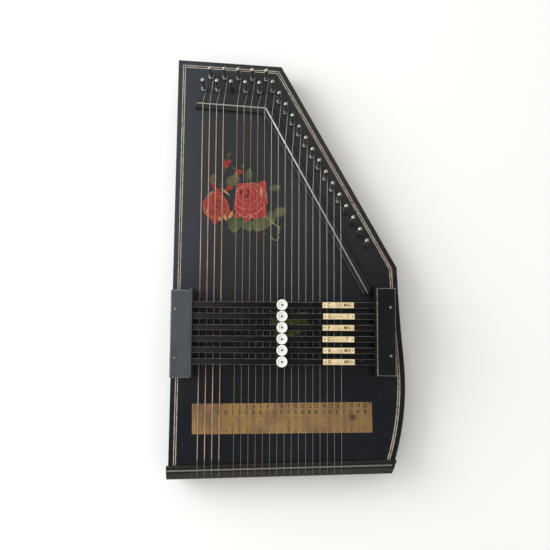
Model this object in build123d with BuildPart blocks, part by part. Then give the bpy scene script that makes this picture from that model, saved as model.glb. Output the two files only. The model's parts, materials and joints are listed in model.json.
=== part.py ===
from build123d import *

import os
from math import atan2, cos, hypot, radians, sin

# A chorded zither, in millimetres. It lies on its back with +Z up. X runs from the bass side to the
# treble side and Y from the tail to the tuning pins. The origin is under the middle of its box.
os.makedirs("parts", exist_ok=True)

# Body: two boards on a rim of blocks and rails.
BACK_THICKNESS = 3.0
RIM_HEIGHT = 33.0
BOARD_THICKNESS = 3.0
RIM_TOP = BACK_THICKNESS + RIM_HEIGHT
BOARD_TOP = RIM_TOP + BOARD_THICKNESS
TOP_BASS = (-134.8, 250.5)
TOP_TREBLE = (-8.9, 242.2)
SHOULDER = (129.0, -3.6)
HIP = (136.1, -112.0)
BELLY = (136.3, -166.5)
TAIL_TREBLE = (120.3, -241.3)
TAIL_BASS = (-138.0, -249.7)
EDGE_ROUND = 0.8
RAIL_THICKNESS = 8.0
PIN_BLOCK_TOP_WIDTH = 52.0
PIN_BLOCK_SLANT_WIDTH = 40.0
TAIL_BLOCK_WIDTH = 28.0
BRACE_WIDTH = 9.0
BRACE_HEIGHT = 11.0
BRACE_ROWS = (105.0, -10.0, -150.0)
BEYOND = 400.0

# Strings: twenty-five places, of which twenty are strung.
STRING_PLACES = 25
BARE_PLACES = (4, 21, 22, 23, 24)
WOUND_PLACES = (0, 1, 2, 3)
FIRST_STRING_X = -103.4
STRING_PITCH = 8.28
PLAIN_RADIUS = 0.25
CORE_RADIUS = 0.3
WINDING_RADIUS = 0.65
WINDING_CLEAR = 0.01
WINDING_FROM_BRIDGE = 20.0
WINDING_FROM_TAIL = 12.0
STRING_BEND_RADIUS = 2.0
EDGE_BEND_RADIUS = 0.8
REST_CLEAR = 0.05

# Tuning pins: two staggered rows along the top edge and one row along the slanted edge.
TOP_ROW_PLACES = 10
LOWER_ROW = ((-102.7, 211.9), (-35.4, 209.0))
UPPER_ROW = ((-94.2, 226.7), (-27.1, 224.0))
SLANT_ROW = ((-19.6, 210.2), (91.2, 20.2))
PIN_LEAN = 15.0
PIN_RADIUS = 2.5
PIN_ABOVE = 23.0
PIN_BELOW = 24.0
PIN_TIP = 1.2
PIN_DOME = 1.4
PIN_FLATS = 4.1
PIN_HEAD_HEIGHT = 9.5
PIN_EYE_RADIUS = 0.6
PIN_EYE_HEIGHT = 10.0
PIN_CLEARANCE = 0.05
PIN_BORE_DEPTH = 25.0
COIL_HEIGHT = 3.4
COIL_TURNS = 5
COIL_OVERLAP = 0.9
COIL_SWELL = 1.08

# Bridge rail, tail rail and the bearing wires let into them.
BRIDGE_BASS = (-110.5, 194.2)
BRIDGE_BEND = (-27.7, 188.2)
BRIDGE_TREBLE = (93.7, -34.8)
BRIDGE_WIDTH = 11.0
BRIDGE_BASS_OVERRUN = 2.8
BRIDGE_CHAMFER = 1.6
RAIL_HEIGHT = 6.1
WIRE_RADIUS = 1.1
WIRE_BED_DEPTH = 1.1
WIRE_BED_HALF = 1.12
WIRE_TOP = RAIL_HEIGHT - WIRE_BED_DEPTH + 2 * WIRE_RADIUS
TAIL_WIRE_IN = 9.2
TAIL_RAIL_WIDTH = 15.3
TAIL_RAIL_OVERHANG = 0.8
TAIL_RAIL_JUT = 1.0
TAIL_RAIL_EDGE = 2.6
TAIL_RAIL_BEVEL = 7.0
TAIL_RAIL_SHOULDER = 1.3
RAIL_END_SPARE = 9.0
RAIL_END_SLANT = 19.0
RAIL_END_JUT = 0.3

# Hitch pins in the tail end.
HITCH_RADIUS = 0.8
HITCH_DEPTH = 11.0
HITCH_PROUD = 2.4
HITCH_HEAD_RADIUS = 1.4
HITCH_HEAD_HEIGHT = 0.5
HITCH_DROP = 9.0
STRING_STAND_OFF = 0.3
STRING_LIP_RISE = 1.3

# Chord bars, their pads and buttons.
BAR_COUNT = 6
FIRST_BAR_Y = -50.0
BAR_PITCH = 12.96
BAR_WIDTH = 7.0
BAR_BOTTOM = 14.5
BAR_HEIGHT = 8.0
BAR_BASS_END = -123.0
BAR_TREBLE_END = 111.2
BAR_ROUND = 0.6
FELT_THICKNESS = 3.0
FELT_WIDTH = 6.0
FELT_MARGIN = 3.1
BUTTON_X = -7.1
BUTTON_RADIUS = 6.2
BUTTON_HEIGHT = 5.0
BUTTON_RIM = 1.3
BUTTON_DISH = 1.0
BUTTON_ROUND = 0.45
BUTTON_HOLE_RADIUS = 1.0

# Bar holders at both ends of the bars.
HOLDER_WIDTH = 21.8
HOLDER_LENGTH = 100.4
HOLDER_HEIGHT = 22.9
HOLDER_BASS_X = -134.8
HOLDER_TREBLE_X = 101.2
HOLDER_BASS_Y = -83.4
HOLDER_TREBLE_Y = -80.2
SLOT_DEPTH = 11.0
SLOT_WIDTH = 7.6
SLOT_FLOOR = 2.6
CAP_THICKNESS = 3.2
CAP_CHAMFER = 1.1
GUIDE_THICKNESS = 2.6
GUIDE_HEIGHT = 25.0
GUIDE_OVERRUN = 2.5
GUIDE_WINDOW_BOTTOM = 10.2
GUIDE_WINDOW_TOP = 22.9
SCREW_INSET = 5.8
SCREW_OFFSETS = (28.0, -27.6)
SCREW_RADIUS = 1.2
SCREW_HOLE_RADIUS = 1.25
SCREW_LENGTH = 17.0
SCREW_HEAD_RADIUS = 1.75
SCREW_HEAD_HEIGHT = 1.0
SCREW_SLOT_WIDTH = 0.5
SCREW_SLOT_DEPTH = 0.5
SCREW_TURN = 15
SPRING_RADIUS = 2.3
SPRING_WIRE_RADIUS = 0.3
SPRING_PITCH = 1.6
SPRING_INSET = 5.2
SPRING_CLEAR = 0.05

# Notes of the strings from bass to treble, and the notes that each chord bar leaves sounding.
TUNING = "F G C D E F G A Bb C D E F G A Bb B C D E F G A Bb C".split()
CHORDS = ("C E G", "G B D F", "F A C", "C E G Bb", "Bb D F", "G Bb D")


def save(part, name):
    """Labels a finished part and writes it as one STEP file."""
    part.label = name
    export_step(part, f"parts/{name}.step")


def between(ends, share):
    """The point at a share of the way along a line."""
    (ax, ay), (bx, by) = ends
    return (ax + (bx - ax) * share, ay + (by - ay) * share)


def inset(start, end, distance):
    """A line moved to its right-hand side."""
    (ax, ay), (bx, by) = start, end
    length = hypot(bx - ax, by - ay)
    dx = (by - ay) / length * distance
    dy = -(bx - ax) / length * distance
    return ((ax + dx, ay + dy), (bx + dx, by + dy))


def crossing(first, second):
    """The point where two lines meet."""
    (ax, ay), (bx, by) = first
    (cx, cy), (dx, dy) = second
    turn = (bx - ax) * (dy - cy) - (by - ay) * (dx - cx)
    share = ((cx - ax) * (dy - cy) - (cy - ay) * (dx - cx)) / turn
    return between(first, share)


def height_on(line, x):
    """The Y of a line at a given X."""
    (ax, ay), (bx, by) = line
    return ay + (by - ay) * (x - ax) / (bx - ax)


def string_x(place):
    """The X of a string between the bridge and the tail."""
    return FIRST_STRING_X + STRING_PITCH * place


def bar_y(bar):
    """The Y of a chord bar's centre line."""
    return FIRST_BAR_Y - BAR_PITCH * bar


def pin_base(place):
    """Where a tuning pin's axis meets the top of the soundboard."""
    if place >= TOP_ROW_PLACES:
        share = (place - TOP_ROW_PLACES) / (STRING_PLACES - TOP_ROW_PLACES - 1)
        return between(SLANT_ROW, share)
    row = UPPER_ROW if place % 2 else LOWER_ROW
    return between(row, (place // 2) / (TOP_ROW_PLACES // 2 - 1))


def pin_plane(place):
    """The plane across a tuning pin, at the top of the soundboard."""
    x, y = pin_base(place)
    lean = (0, sin(radians(PIN_LEAN)), cos(radians(PIN_LEAN)))
    return Plane(origin=(x, y, BOARD_TOP), x_dir=(1, 0, 0), z_dir=lean)


PIN_PLANES = [pin_plane(place) for place in range(STRING_PLACES)]
STRUNG_PLACES = [place for place in range(STRING_PLACES) if place not in BARE_PLACES]
TAIL_LINE = (TAIL_TREBLE, TAIL_BASS)
BRIDGE_TOP_LINE = (BRIDGE_BASS, BRIDGE_BEND)
BRIDGE_SLANT_LINE = (BRIDGE_BEND, BRIDGE_TREBLE)
TAIL_WIRE_LINE = inset(*TAIL_LINE, TAIL_WIRE_IN)
TAIL_ANGLE = atan2(TAIL_TREBLE[1] - TAIL_BASS[1], TAIL_TREBLE[0] - TAIL_BASS[0])
TAILWARD = (sin(TAIL_ANGLE), -cos(TAIL_ANGLE), 0)

# Plans shared by the boards and the rim under them.
with BuildSketch() as body_plan:
    with BuildLine():
        Line(TOP_BASS, TOP_TREBLE)
        Line(TOP_TREBLE, SHOULDER)
        lower_side = ThreePointArc(HIP, BELLY, TAIL_TREBLE)
        TangentArc(HIP, SHOULDER, tangent=-(lower_side % 0))
        Line(TAIL_TREBLE, TAIL_BASS)
        Line(TAIL_BASS, TOP_BASS)
    make_face()

top_inner = inset(TOP_BASS, TOP_TREBLE, PIN_BLOCK_TOP_WIDTH)
slant_inner = inset(TOP_TREBLE, SHOULDER, PIN_BLOCK_SLANT_WIDTH)
block_end = (SHOULDER, (SHOULDER[0] - BEYOND, SHOULDER[1]))
with BuildSketch() as pin_block_plan:
    add(body_plan.sketch)
    with BuildLine():
        Polyline(
            (-BEYOND, height_on(top_inner, -BEYOND)),
            crossing(top_inner, slant_inner),
            crossing(slant_inner, block_end),
            (BEYOND, SHOULDER[1]),
            (BEYOND, -BEYOND),
            (-BEYOND, -BEYOND),
            close=True,
        )
    make_face(mode=Mode.SUBTRACT)

tail_inner = inset(*TAIL_LINE, TAIL_BLOCK_WIDTH)
with BuildSketch() as tail_block_plan:
    add(body_plan.sketch)
    with BuildLine():
        Polyline(
            (-BEYOND, height_on(tail_inner, -BEYOND)),
            (BEYOND, height_on(tail_inner, BEYOND)),
            (BEYOND, BEYOND),
            (-BEYOND, BEYOND),
            close=True,
        )
    make_face(mode=Mode.SUBTRACT)

with BuildSketch() as cavity_plan:
    add(body_plan.sketch)
    offset(amount=-RAIL_THICKNESS)
    add(pin_block_plan.sketch, mode=Mode.SUBTRACT)
    add(tail_block_plan.sketch, mode=Mode.SUBTRACT)

# Back board.
with BuildPart() as back_board:
    with BuildSketch():
        add(body_plan.sketch)
    extrude(amount=BACK_THICKNESS)
    fillet(back_board.faces().sort_by(Axis.Z)[0].edges(), radius=EDGE_ROUND)
save(back_board.part, "back_board")

# Soundboard, with a bore for each tuning pin.
with BuildPart() as soundboard:
    with BuildSketch(Plane.XY.offset(RIM_TOP)):
        add(body_plan.sketch)
    extrude(amount=BOARD_THICKNESS)
    fillet(soundboard.faces().sort_by(Axis.Z)[-1].edges(), radius=EDGE_ROUND)
    with Locations(*PIN_PLANES):
        Cylinder(PIN_RADIUS + PIN_CLEARANCE, 4 * BOARD_THICKNESS, mode=Mode.SUBTRACT)
save(soundboard.part, "soundboard")

# Pin block, bored blind at each pin's lean.
with BuildPart() as pin_block:
    with BuildSketch(Plane.XY.offset(BACK_THICKNESS)):
        add(pin_block_plan.sketch)
    extrude(amount=RIM_HEIGHT)
    with Locations(*PIN_PLANES):
        Cylinder(
            PIN_RADIUS + PIN_CLEARANCE,
            PIN_BORE_DEPTH,
            align=(Align.CENTER, Align.CENTER, Align.MAX),
            mode=Mode.SUBTRACT,
        )
save(pin_block.part, "pin_block")


def hitch_plane(place):
    """The plane across a hitch pin, where its axis meets the tail end."""
    x = string_x(place)
    origin = (x, height_on(TAIL_LINE, x), BOARD_TOP - HITCH_DROP)
    return Plane(origin=origin, x_dir=(0, 0, 1), z_dir=TAILWARD)


HITCH_PLANES = [hitch_plane(place) for place in range(STRING_PLACES)]

# Tail block, with a hole for each hitch pin.
with BuildPart() as tail_block:
    with BuildSketch(Plane.XY.offset(BACK_THICKNESS)):
        add(tail_block_plan.sketch)
    extrude(amount=RIM_HEIGHT)
    with Locations(*HITCH_PLANES):
        Cylinder(HITCH_RADIUS, 2 * HITCH_DEPTH, mode=Mode.SUBTRACT)
save(tail_block.part, "tail_block")

# Bass rail and treble rail, between the two blocks.
with BuildPart() as side_rails:
    with BuildSketch(Plane.XY.offset(BACK_THICKNESS)):
        add(body_plan.sketch)
        offset(amount=-RAIL_THICKNESS, mode=Mode.SUBTRACT)
        add(pin_block_plan.sketch, mode=Mode.SUBTRACT)
        add(tail_block_plan.sketch, mode=Mode.SUBTRACT)
    extrude(amount=RIM_HEIGHT)
save(side_rails.part, "side_rails")

# Braces across the cavity, glued to the back board and under the soundboard.
with BuildPart() as braces:
    for base in (BACK_THICKNESS, RIM_TOP - BRACE_HEIGHT):
        with BuildSketch(Plane.XY.offset(base)):
            with Locations(*[(0, row) for row in BRACE_ROWS]):
                Rectangle(BEYOND, BRACE_WIDTH)
            add(cavity_plan.sketch, mode=Mode.INTERSECT)
        extrude(amount=BRACE_HEIGHT)
save(braces.part, "braces")


def bent_strip(half_width, overrun):
    """The plan of a strip of even width along the bent bridge line, longer than it at the bass end."""
    run = hypot(BRIDGE_BEND[0] - BRIDGE_BASS[0], BRIDGE_BEND[1] - BRIDGE_BASS[1])
    start = between(BRIDGE_TOP_LINE, -overrun / run)
    outer = (inset(start, BRIDGE_BEND, -half_width), inset(*BRIDGE_SLANT_LINE, -half_width))
    inner = (inset(start, BRIDGE_BEND, half_width), inset(*BRIDGE_SLANT_LINE, half_width))
    with BuildSketch() as plan:
        with BuildLine():
            Polyline(
                outer[0][0],
                crossing(*outer),
                outer[1][1],
                inner[1][1],
                crossing(*inner),
                inner[0][0],
                close=True,
            )
        make_face()
    return plan.sketch


# Bridge rail: a bent strip with a bed along its top for the bearing wire.
with BuildPart() as bridge_rail:
    with BuildSketch(Plane.XY.offset(BOARD_TOP)):
        add(bent_strip(BRIDGE_WIDTH / 2, BRIDGE_BASS_OVERRUN))
    extrude(amount=RAIL_HEIGHT)
    chamfer(bridge_rail.faces().sort_by(Axis.Z)[-1].edges(), length=BRIDGE_CHAMFER)
    with BuildSketch(Plane.XY.offset(BOARD_TOP + RAIL_HEIGHT)):
        add(bent_strip(WIRE_BED_HALF, BRIDGE_BASS_OVERRUN / 2))
    extrude(amount=-WIRE_BED_DEPTH, mode=Mode.SUBTRACT)
save(bridge_rail.part, "bridge_rail")

# Tail rail: a moulding on the tail edge, bevelled down to a lip that the strings go over. Its treble end
# is cut along the body's side.
tail_face = inset(*TAIL_LINE, -TAIL_RAIL_OVERHANG)
tail_rail_length = hypot(TAIL_TREBLE[0] - TAIL_BASS[0], TAIL_TREBLE[1] - TAIL_BASS[1])
rail_end = Plane(
    origin=(*between((tail_face[1], tail_face[0]), -TAIL_RAIL_JUT / tail_rail_length), BOARD_TOP),
    x_dir=(-TAILWARD[0], -TAILWARD[1], 0),
    z_dir=(cos(TAIL_ANGLE), sin(TAIL_ANGLE), 0),
)
WIRE_BED_IN = TAIL_WIRE_IN + TAIL_RAIL_OVERHANG
with BuildPart() as tail_rail:
    with BuildSketch(rail_end):
        with BuildLine():
            Polyline(
                (0, 0),
                (0, TAIL_RAIL_EDGE),
                (TAIL_RAIL_BEVEL, RAIL_HEIGHT),
                (WIRE_BED_IN - WIRE_BED_HALF, RAIL_HEIGHT),
                (WIRE_BED_IN - WIRE_BED_HALF, RAIL_HEIGHT - WIRE_BED_DEPTH),
                (WIRE_BED_IN + WIRE_BED_HALF, RAIL_HEIGHT - WIRE_BED_DEPTH),
                (WIRE_BED_IN + WIRE_BED_HALF, RAIL_HEIGHT),
                (TAIL_RAIL_WIDTH - TAIL_RAIL_SHOULDER, RAIL_HEIGHT),
                (TAIL_RAIL_WIDTH, RAIL_HEIGHT - 2 * TAIL_RAIL_SHOULDER),
                (TAIL_RAIL_WIDTH, 0),
                close=True,
            )
        make_face()
    extrude(amount=tail_rail_length + TAIL_RAIL_JUT + RAIL_END_SPARE)
    end_cut = Plane(
        origin=(TAIL_TREBLE[0] + RAIL_END_JUT, TAIL_TREBLE[1], BOARD_TOP),
        x_dir=(0, 0, 1),
        z_dir=(cos(radians(RAIL_END_SLANT)), -sin(radians(RAIL_END_SLANT)), 0),
    )
    split(bisect_by=end_cut, keep=Keep.BOTTOM)
save(tail_rail.part, "tail_rail")

# Bearing wires: one bent along the bridge rail, one straight along the tail rail.
WIRE_HEIGHT = BOARD_TOP + WIRE_TOP - WIRE_RADIUS
with BuildPart() as bearing_wires:
    with BuildLine() as bridge_wire_line:
        FilletPolyline(
            (*BRIDGE_BASS, WIRE_HEIGHT),
            (*BRIDGE_BEND, WIRE_HEIGHT),
            (*BRIDGE_TREBLE, WIRE_HEIGHT),
            radius=WIRE_RADIUS,
        )
    with BuildSketch(Plane(bridge_wire_line.line @ 0, z_dir=bridge_wire_line.line % 0)):
        Circle(WIRE_RADIUS)
    sweep(path=bridge_wire_line.line)
    tail_wire_start = Vector(*TAIL_WIRE_LINE[1], WIRE_HEIGHT)
    tail_wire_end = Vector(*TAIL_WIRE_LINE[0], WIRE_HEIGHT)
    with BuildSketch(Plane(tail_wire_start, z_dir=tail_wire_end - tail_wire_start)):
        Circle(WIRE_RADIUS)
    extrude(amount=(tail_wire_end - tail_wire_start).length)
save(bearing_wires.part, "bearing_wires")

# Hitch pins: small headed nails in the tail end, one for each string place.
with BuildPart() as hitch_pins:
    for plane in HITCH_PLANES:
        with BuildSketch(plane.offset(-HITCH_DEPTH)):
            Circle(HITCH_RADIUS)
        extrude(amount=HITCH_DEPTH + HITCH_PROUD - HITCH_HEAD_HEIGHT)
        with BuildSketch(plane.offset(HITCH_PROUD - HITCH_HEAD_HEIGHT)):
            Circle(HITCH_HEAD_RADIUS)
        extrude(amount=HITCH_HEAD_HEIGHT)
save(hitch_pins.part, "hitch_pins")


def tuning_pin(plane):
    """A leaning steel pin: pointed tip, eye for the string, square head with a domed end."""
    across = Plane(origin=plane.origin, x_dir=plane.x_dir, z_dir=-plane.y_dir)
    with BuildPart() as pin:
        with BuildSketch(across):
            with BuildLine():
                start = (0, -PIN_BELOW)
                tip = (PIN_RADIUS - PIN_TIP, -PIN_BELOW)
                neck = (PIN_RADIUS, PIN_TIP - PIN_BELOW)
                shoulder = (PIN_RADIUS, PIN_ABOVE - PIN_DOME)
                crest = (0, PIN_ABOVE)
                Polyline(start, tip, neck, shoulder)
                TangentArc(crest, shoulder, tangent=(1, 0))
                Line(crest, start)
            make_face()
        revolve(axis=Axis(plane.origin, plane.z_dir))
        with BuildSketch(plane.offset(PIN_ABOVE - PIN_HEAD_HEIGHT)):
            Circle(2 * PIN_RADIUS)
            Rectangle(PIN_FLATS, PIN_FLATS, mode=Mode.SUBTRACT)
        extrude(amount=PIN_HEAD_HEIGHT, mode=Mode.SUBTRACT)
        with Locations(plane.offset(PIN_EYE_HEIGHT)):
            Cylinder(
                PIN_EYE_RADIUS, 3 * PIN_RADIUS, rotation=(0, 90, 0), mode=Mode.SUBTRACT
            )
    return pin.part


for number, plane in enumerate(PIN_PLANES, start=1):
    save(tuning_pin(plane), f"tuning_pin_{number:02d}")


def crest_of(place, radius):
    """The height of a string's centre where it lies on the bearing wires."""
    return BOARD_TOP + WIRE_TOP + radius + REST_CLEAR


def bridge_y(place):
    """The Y where a string crosses the bridge wire."""
    x = string_x(place)
    line = BRIDGE_TOP_LINE if x < BRIDGE_BEND[0] else BRIDGE_SLANT_LINE
    return height_on(line, x)


def string(place, radius):
    """One steel string: its coil round the pin, its run over both wires and its loop at the tail."""
    plane = PIN_PLANES[place]
    coil_wire = radius * COIL_SWELL
    coil_radius = PIN_RADIUS + PIN_CLEARANCE + coil_wire
    turn_height = 2 * coil_wire * COIL_OVERLAP
    x = string_x(place)
    crest = crest_of(place, radius)
    tail_y = height_on(tail_face, x) - STRING_STAND_OFF - radius
    hitch = HITCH_PLANES[place]
    loop_radius = HITCH_RADIUS + PIN_CLEARANCE + radius
    coil_top = COIL_HEIGHT + turn_height * (COIL_TURNS - 1)
    leave = plane.from_local_coords((coil_radius, radius, coil_top))
    across = Plane(origin=plane.origin, x_dir=plane.x_dir, z_dir=-plane.y_dir)
    loop_out = (hitch.origin.Y - tail_y) / -TAILWARD[1]
    with BuildPart() as steel:
        with BuildLine() as route:
            FilletPolyline(
                leave,
                (x, bridge_y(place), crest),
                (x, height_on(TAIL_WIRE_LINE, x), crest),
                (x, tail_y, BOARD_TOP + TAIL_RAIL_EDGE + STRING_LIP_RISE),
                (x, tail_y, BOARD_TOP - HITCH_DROP + loop_radius),
                radius=(STRING_BEND_RADIUS, STRING_BEND_RADIUS, EDGE_BEND_RADIUS),
            )
        with BuildSketch(Plane(route.line @ 0, z_dir=route.line % 0)):
            Circle(radius)
        sweep(path=route.line)
        with BuildSketch(across):
            for turn in range(COIL_TURNS):
                with Locations((coil_radius, COIL_HEIGHT + turn_height * turn)):
                    Circle(coil_wire)
        revolve(axis=Axis(plane.origin, plane.z_dir))
        with Locations(hitch.offset(loop_out)):
            Torus(loop_radius, radius)
    return steel.part


strings = []
for place in STRUNG_PLACES:
    strings.append(string(place, CORE_RADIUS if place in WOUND_PLACES else PLAIN_RADIUS))
save(Compound(children=strings), "strings")

# Copper windings round the middle of the bass strings.
with BuildPart() as string_windings:
    for place in WOUND_PLACES:
        x = string_x(place)
        start = height_on(TAIL_WIRE_LINE, x) + WINDING_FROM_TAIL
        length = bridge_y(place) - WINDING_FROM_BRIDGE - start
        origin = (x, start, crest_of(place, CORE_RADIUS))
        with BuildSketch(Plane(origin=origin, x_dir=(1, 0, 0), z_dir=(0, 1, 0))):
            Circle(WINDING_RADIUS)
            Circle(CORE_RADIUS + WINDING_CLEAR, mode=Mode.SUBTRACT)
        extrude(amount=length)
save(string_windings.part, "string_windings")

# Bar holders: a block at each end of the bars, slotted from its inner side.
# Each holder is given by its outer face's X, the way in towards the strings, and its centre's Y.
HOLDERS = (
    (HOLDER_BASS_X, 1, HOLDER_BASS_Y),
    (HOLDER_TREBLE_X + HOLDER_WIDTH, -1, HOLDER_TREBLE_Y),
)
BAR_ROWS = [bar_y(bar) for bar in range(BAR_COUNT)]


def screw_places(outer_x, inward, centre_y):
    """Where the two screws of a holder's cap go."""
    x = outer_x + inward * SCREW_INSET
    return [(x, centre_y + offset_y) for offset_y in SCREW_OFFSETS]


with BuildPart() as holders:
    for outer_x, inward, centre_y in HOLDERS:
        with BuildSketch(Plane.XY.offset(BOARD_TOP)):
            with Locations((outer_x + inward * HOLDER_WIDTH / 2, centre_y)):
                Rectangle(HOLDER_WIDTH, HOLDER_LENGTH)
        extrude(amount=HOLDER_HEIGHT)
        slot_x = outer_x + inward * (HOLDER_WIDTH - SLOT_DEPTH / 2)
        with BuildSketch(Plane.XY.offset(BOARD_TOP + SLOT_FLOOR)):
            with Locations(*[(slot_x, row) for row in BAR_ROWS]):
                Rectangle(SLOT_DEPTH, SLOT_WIDTH)
        extrude(amount=HOLDER_HEIGHT, mode=Mode.SUBTRACT)
        with BuildSketch(Plane.XY.offset(BOARD_TOP + HOLDER_HEIGHT)):
            with Locations(*screw_places(outer_x, inward, centre_y)):
                Circle(SCREW_HOLE_RADIUS)
        extrude(amount=-SCREW_LENGTH, mode=Mode.SUBTRACT)
save(holders.part, "holders")

# Caps that close the holders' slots from above.
CAP_BOTTOM = BOARD_TOP + HOLDER_HEIGHT
CAP_TOP = CAP_BOTTOM + CAP_THICKNESS
with BuildPart() as holder_caps:
    for outer_x, inward, centre_y in HOLDERS:
        with BuildSketch(Plane.XY.offset(CAP_BOTTOM)):
            with Locations((outer_x + inward * HOLDER_WIDTH / 2, centre_y)):
                Rectangle(HOLDER_WIDTH, HOLDER_LENGTH)
            with Locations(*screw_places(outer_x, inward, centre_y)):
                Circle(SCREW_HOLE_RADIUS, mode=Mode.SUBTRACT)
        extrude(amount=CAP_THICKNESS)
    cap_tops = holder_caps.faces().filter_by(Plane.XY).group_by(Axis.Z)[-1]
    rims = [edge for top in cap_tops for edge in top.outer_wire().edges()]
    chamfer(rims, length=CAP_CHAMFER)
save(holder_caps.part, "holder_caps")

# Guide plates on the inner faces of the holders, with a window for each bar.
with BuildPart() as guide_plates:
    for outer_x, inward, centre_y in HOLDERS:
        inner_x = outer_x + inward * HOLDER_WIDTH
        centre_x = inner_x + inward * GUIDE_THICKNESS / 2
        with BuildSketch(Plane.XY.offset(BOARD_TOP)):
            with Locations((centre_x, centre_y + GUIDE_OVERRUN / 2)):
                Rectangle(GUIDE_THICKNESS, HOLDER_LENGTH + GUIDE_OVERRUN)
        extrude(amount=GUIDE_HEIGHT)
        with BuildSketch(Plane.XY.offset(BOARD_TOP + GUIDE_WINDOW_BOTTOM)):
            with Locations(*[(centre_x, row) for row in BAR_ROWS]):
                Rectangle(2 * GUIDE_THICKNESS, SLOT_WIDTH)
        extrude(amount=GUIDE_WINDOW_TOP - GUIDE_WINDOW_BOTTOM, mode=Mode.SUBTRACT)
save(guide_plates.part, "guide_plates")

# Round-headed screws that hold the caps down.
with BuildPart() as cap_screws:
    for holder in HOLDERS:
        for x, y in screw_places(*holder):
            with BuildSketch(Plane.XY.offset(CAP_TOP - SCREW_LENGTH)):
                with Locations((x, y)):
                    Circle(SCREW_RADIUS)
            extrude(amount=SCREW_LENGTH)
            with BuildSketch(Plane(origin=(x, y, CAP_TOP), x_dir=(1, 0, 0), z_dir=(0, -1, 0))):
                with BuildLine():
                    crown = (0, SCREW_HEAD_HEIGHT)
                    rim = (SCREW_HEAD_RADIUS, 0)
                    TangentArc(crown, rim, tangent=(1, 0))
                    Polyline(rim, (0, 0), crown)
                make_face()
            revolve(axis=Axis((x, y, 0), (0, 0, 1)))
            with BuildSketch(Plane.XY.offset(CAP_TOP + SCREW_HEAD_HEIGHT)):
                with Locations((x, y)):
                    Rectangle(3 * SCREW_HEAD_RADIUS, SCREW_SLOT_WIDTH, rotation=SCREW_TURN * y)
            extrude(amount=-SCREW_SLOT_DEPTH, mode=Mode.SUBTRACT)
save(cap_screws.part, "cap_screws")


def bar_spring(x, y):
    """A small compression spring standing on a slot's floor under a bar's end."""
    base = BOARD_TOP + SLOT_FLOOR + SPRING_WIRE_RADIUS + SPRING_CLEAR
    height = BAR_BOTTOM - SLOT_FLOOR - 2 * (SPRING_WIRE_RADIUS + SPRING_CLEAR)
    with BuildPart() as spring:
        with BuildLine() as turns:
            Helix(SPRING_PITCH, height, SPRING_RADIUS, center=(x, y, base))
        with BuildSketch(Plane(turns.line @ 0, z_dir=turns.line % 0)):
            Circle(SPRING_WIRE_RADIUS)
        sweep(path=turns.line, is_frenet=True)
    return spring.part


SPRING_COLUMNS = [x + inward * (HOLDER_WIDTH - SPRING_INSET) for x, inward, _ in HOLDERS]
springs = [bar_spring(x, row) for x in SPRING_COLUMNS for row in BAR_ROWS]
save(Compound(children=springs), "bar_springs")


def muted_spans(chord):
    """The stretches of a bar that carry felt: every string whose note isn't in the chord."""
    spans = []
    for place, note in enumerate(TUNING):
        if note in chord.split():
            continue
        left = string_x(place) - FELT_MARGIN
        right = string_x(place) + FELT_MARGIN
        if spans and left - spans[-1][1] < STRING_PITCH / 2:
            spans[-1] = (spans[-1][0], right)
        else:
            spans.append((left, right))
    return spans


for number, (y, chord) in enumerate(zip(BAR_ROWS, CHORDS), start=1):
    bar_base = BOARD_TOP + BAR_BOTTOM
    with BuildPart() as chord_bar:
        with BuildSketch(Plane.XY.offset(bar_base)):
            with Locations(((BAR_BASS_END + BAR_TREBLE_END) / 2, y)):
                Rectangle(BAR_TREBLE_END - BAR_BASS_END, BAR_WIDTH)
        extrude(amount=BAR_HEIGHT)
        fillet(chord_bar.edges().filter_by(Axis.X), radius=BAR_ROUND)
    save(chord_bar.part, f"chord_bar_{number}")

    with BuildPart() as felt_pads:
        for left, right in muted_spans(chord):
            with BuildSketch(Plane.XY.offset(bar_base)):
                with Locations(((left + right) / 2, y)):
                    Rectangle(right - left, FELT_WIDTH)
            extrude(amount=-FELT_THICKNESS)
    save(felt_pads.part, f"felt_pads_{number}")

    with BuildPart() as button:
        foot = (BUTTON_X, y, bar_base + BAR_HEIGHT)
        with BuildSketch(Plane(origin=foot, x_dir=(1, 0, 0), z_dir=(0, -1, 0))):
            with BuildLine():
                Polyline(
                    (BUTTON_HOLE_RADIUS, 0),
                    (BUTTON_RADIUS, 0),
                    (BUTTON_RADIUS, BUTTON_HEIGHT),
                    (BUTTON_RADIUS - BUTTON_RIM, BUTTON_HEIGHT),
                    (BUTTON_RADIUS - 2 * BUTTON_RIM, BUTTON_HEIGHT - BUTTON_DISH),
                    (BUTTON_HOLE_RADIUS, BUTTON_HEIGHT - BUTTON_DISH),
                    close=True,
                )
            make_face()
        revolve(axis=Axis((BUTTON_X, y, 0), (0, 0, 1)))
        rim_edges = button.edges().filter_by(GeomType.CIRCLE).group_by(Axis.Z)[-1]
        fillet(rim_edges, radius=BUTTON_ROUND)
    save(button.part, f"button_{number}")
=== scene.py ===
"""Looks for a chorded zither: finishes, transfer pictures, labels, strings, springs and studio."""
import json
import logging
import math
import random
from collections.abc import Iterator, Sequence
from dataclasses import dataclass, replace
from enum import Enum

import bmesh
import bpy
from mathutils import Matrix, Vector


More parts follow.
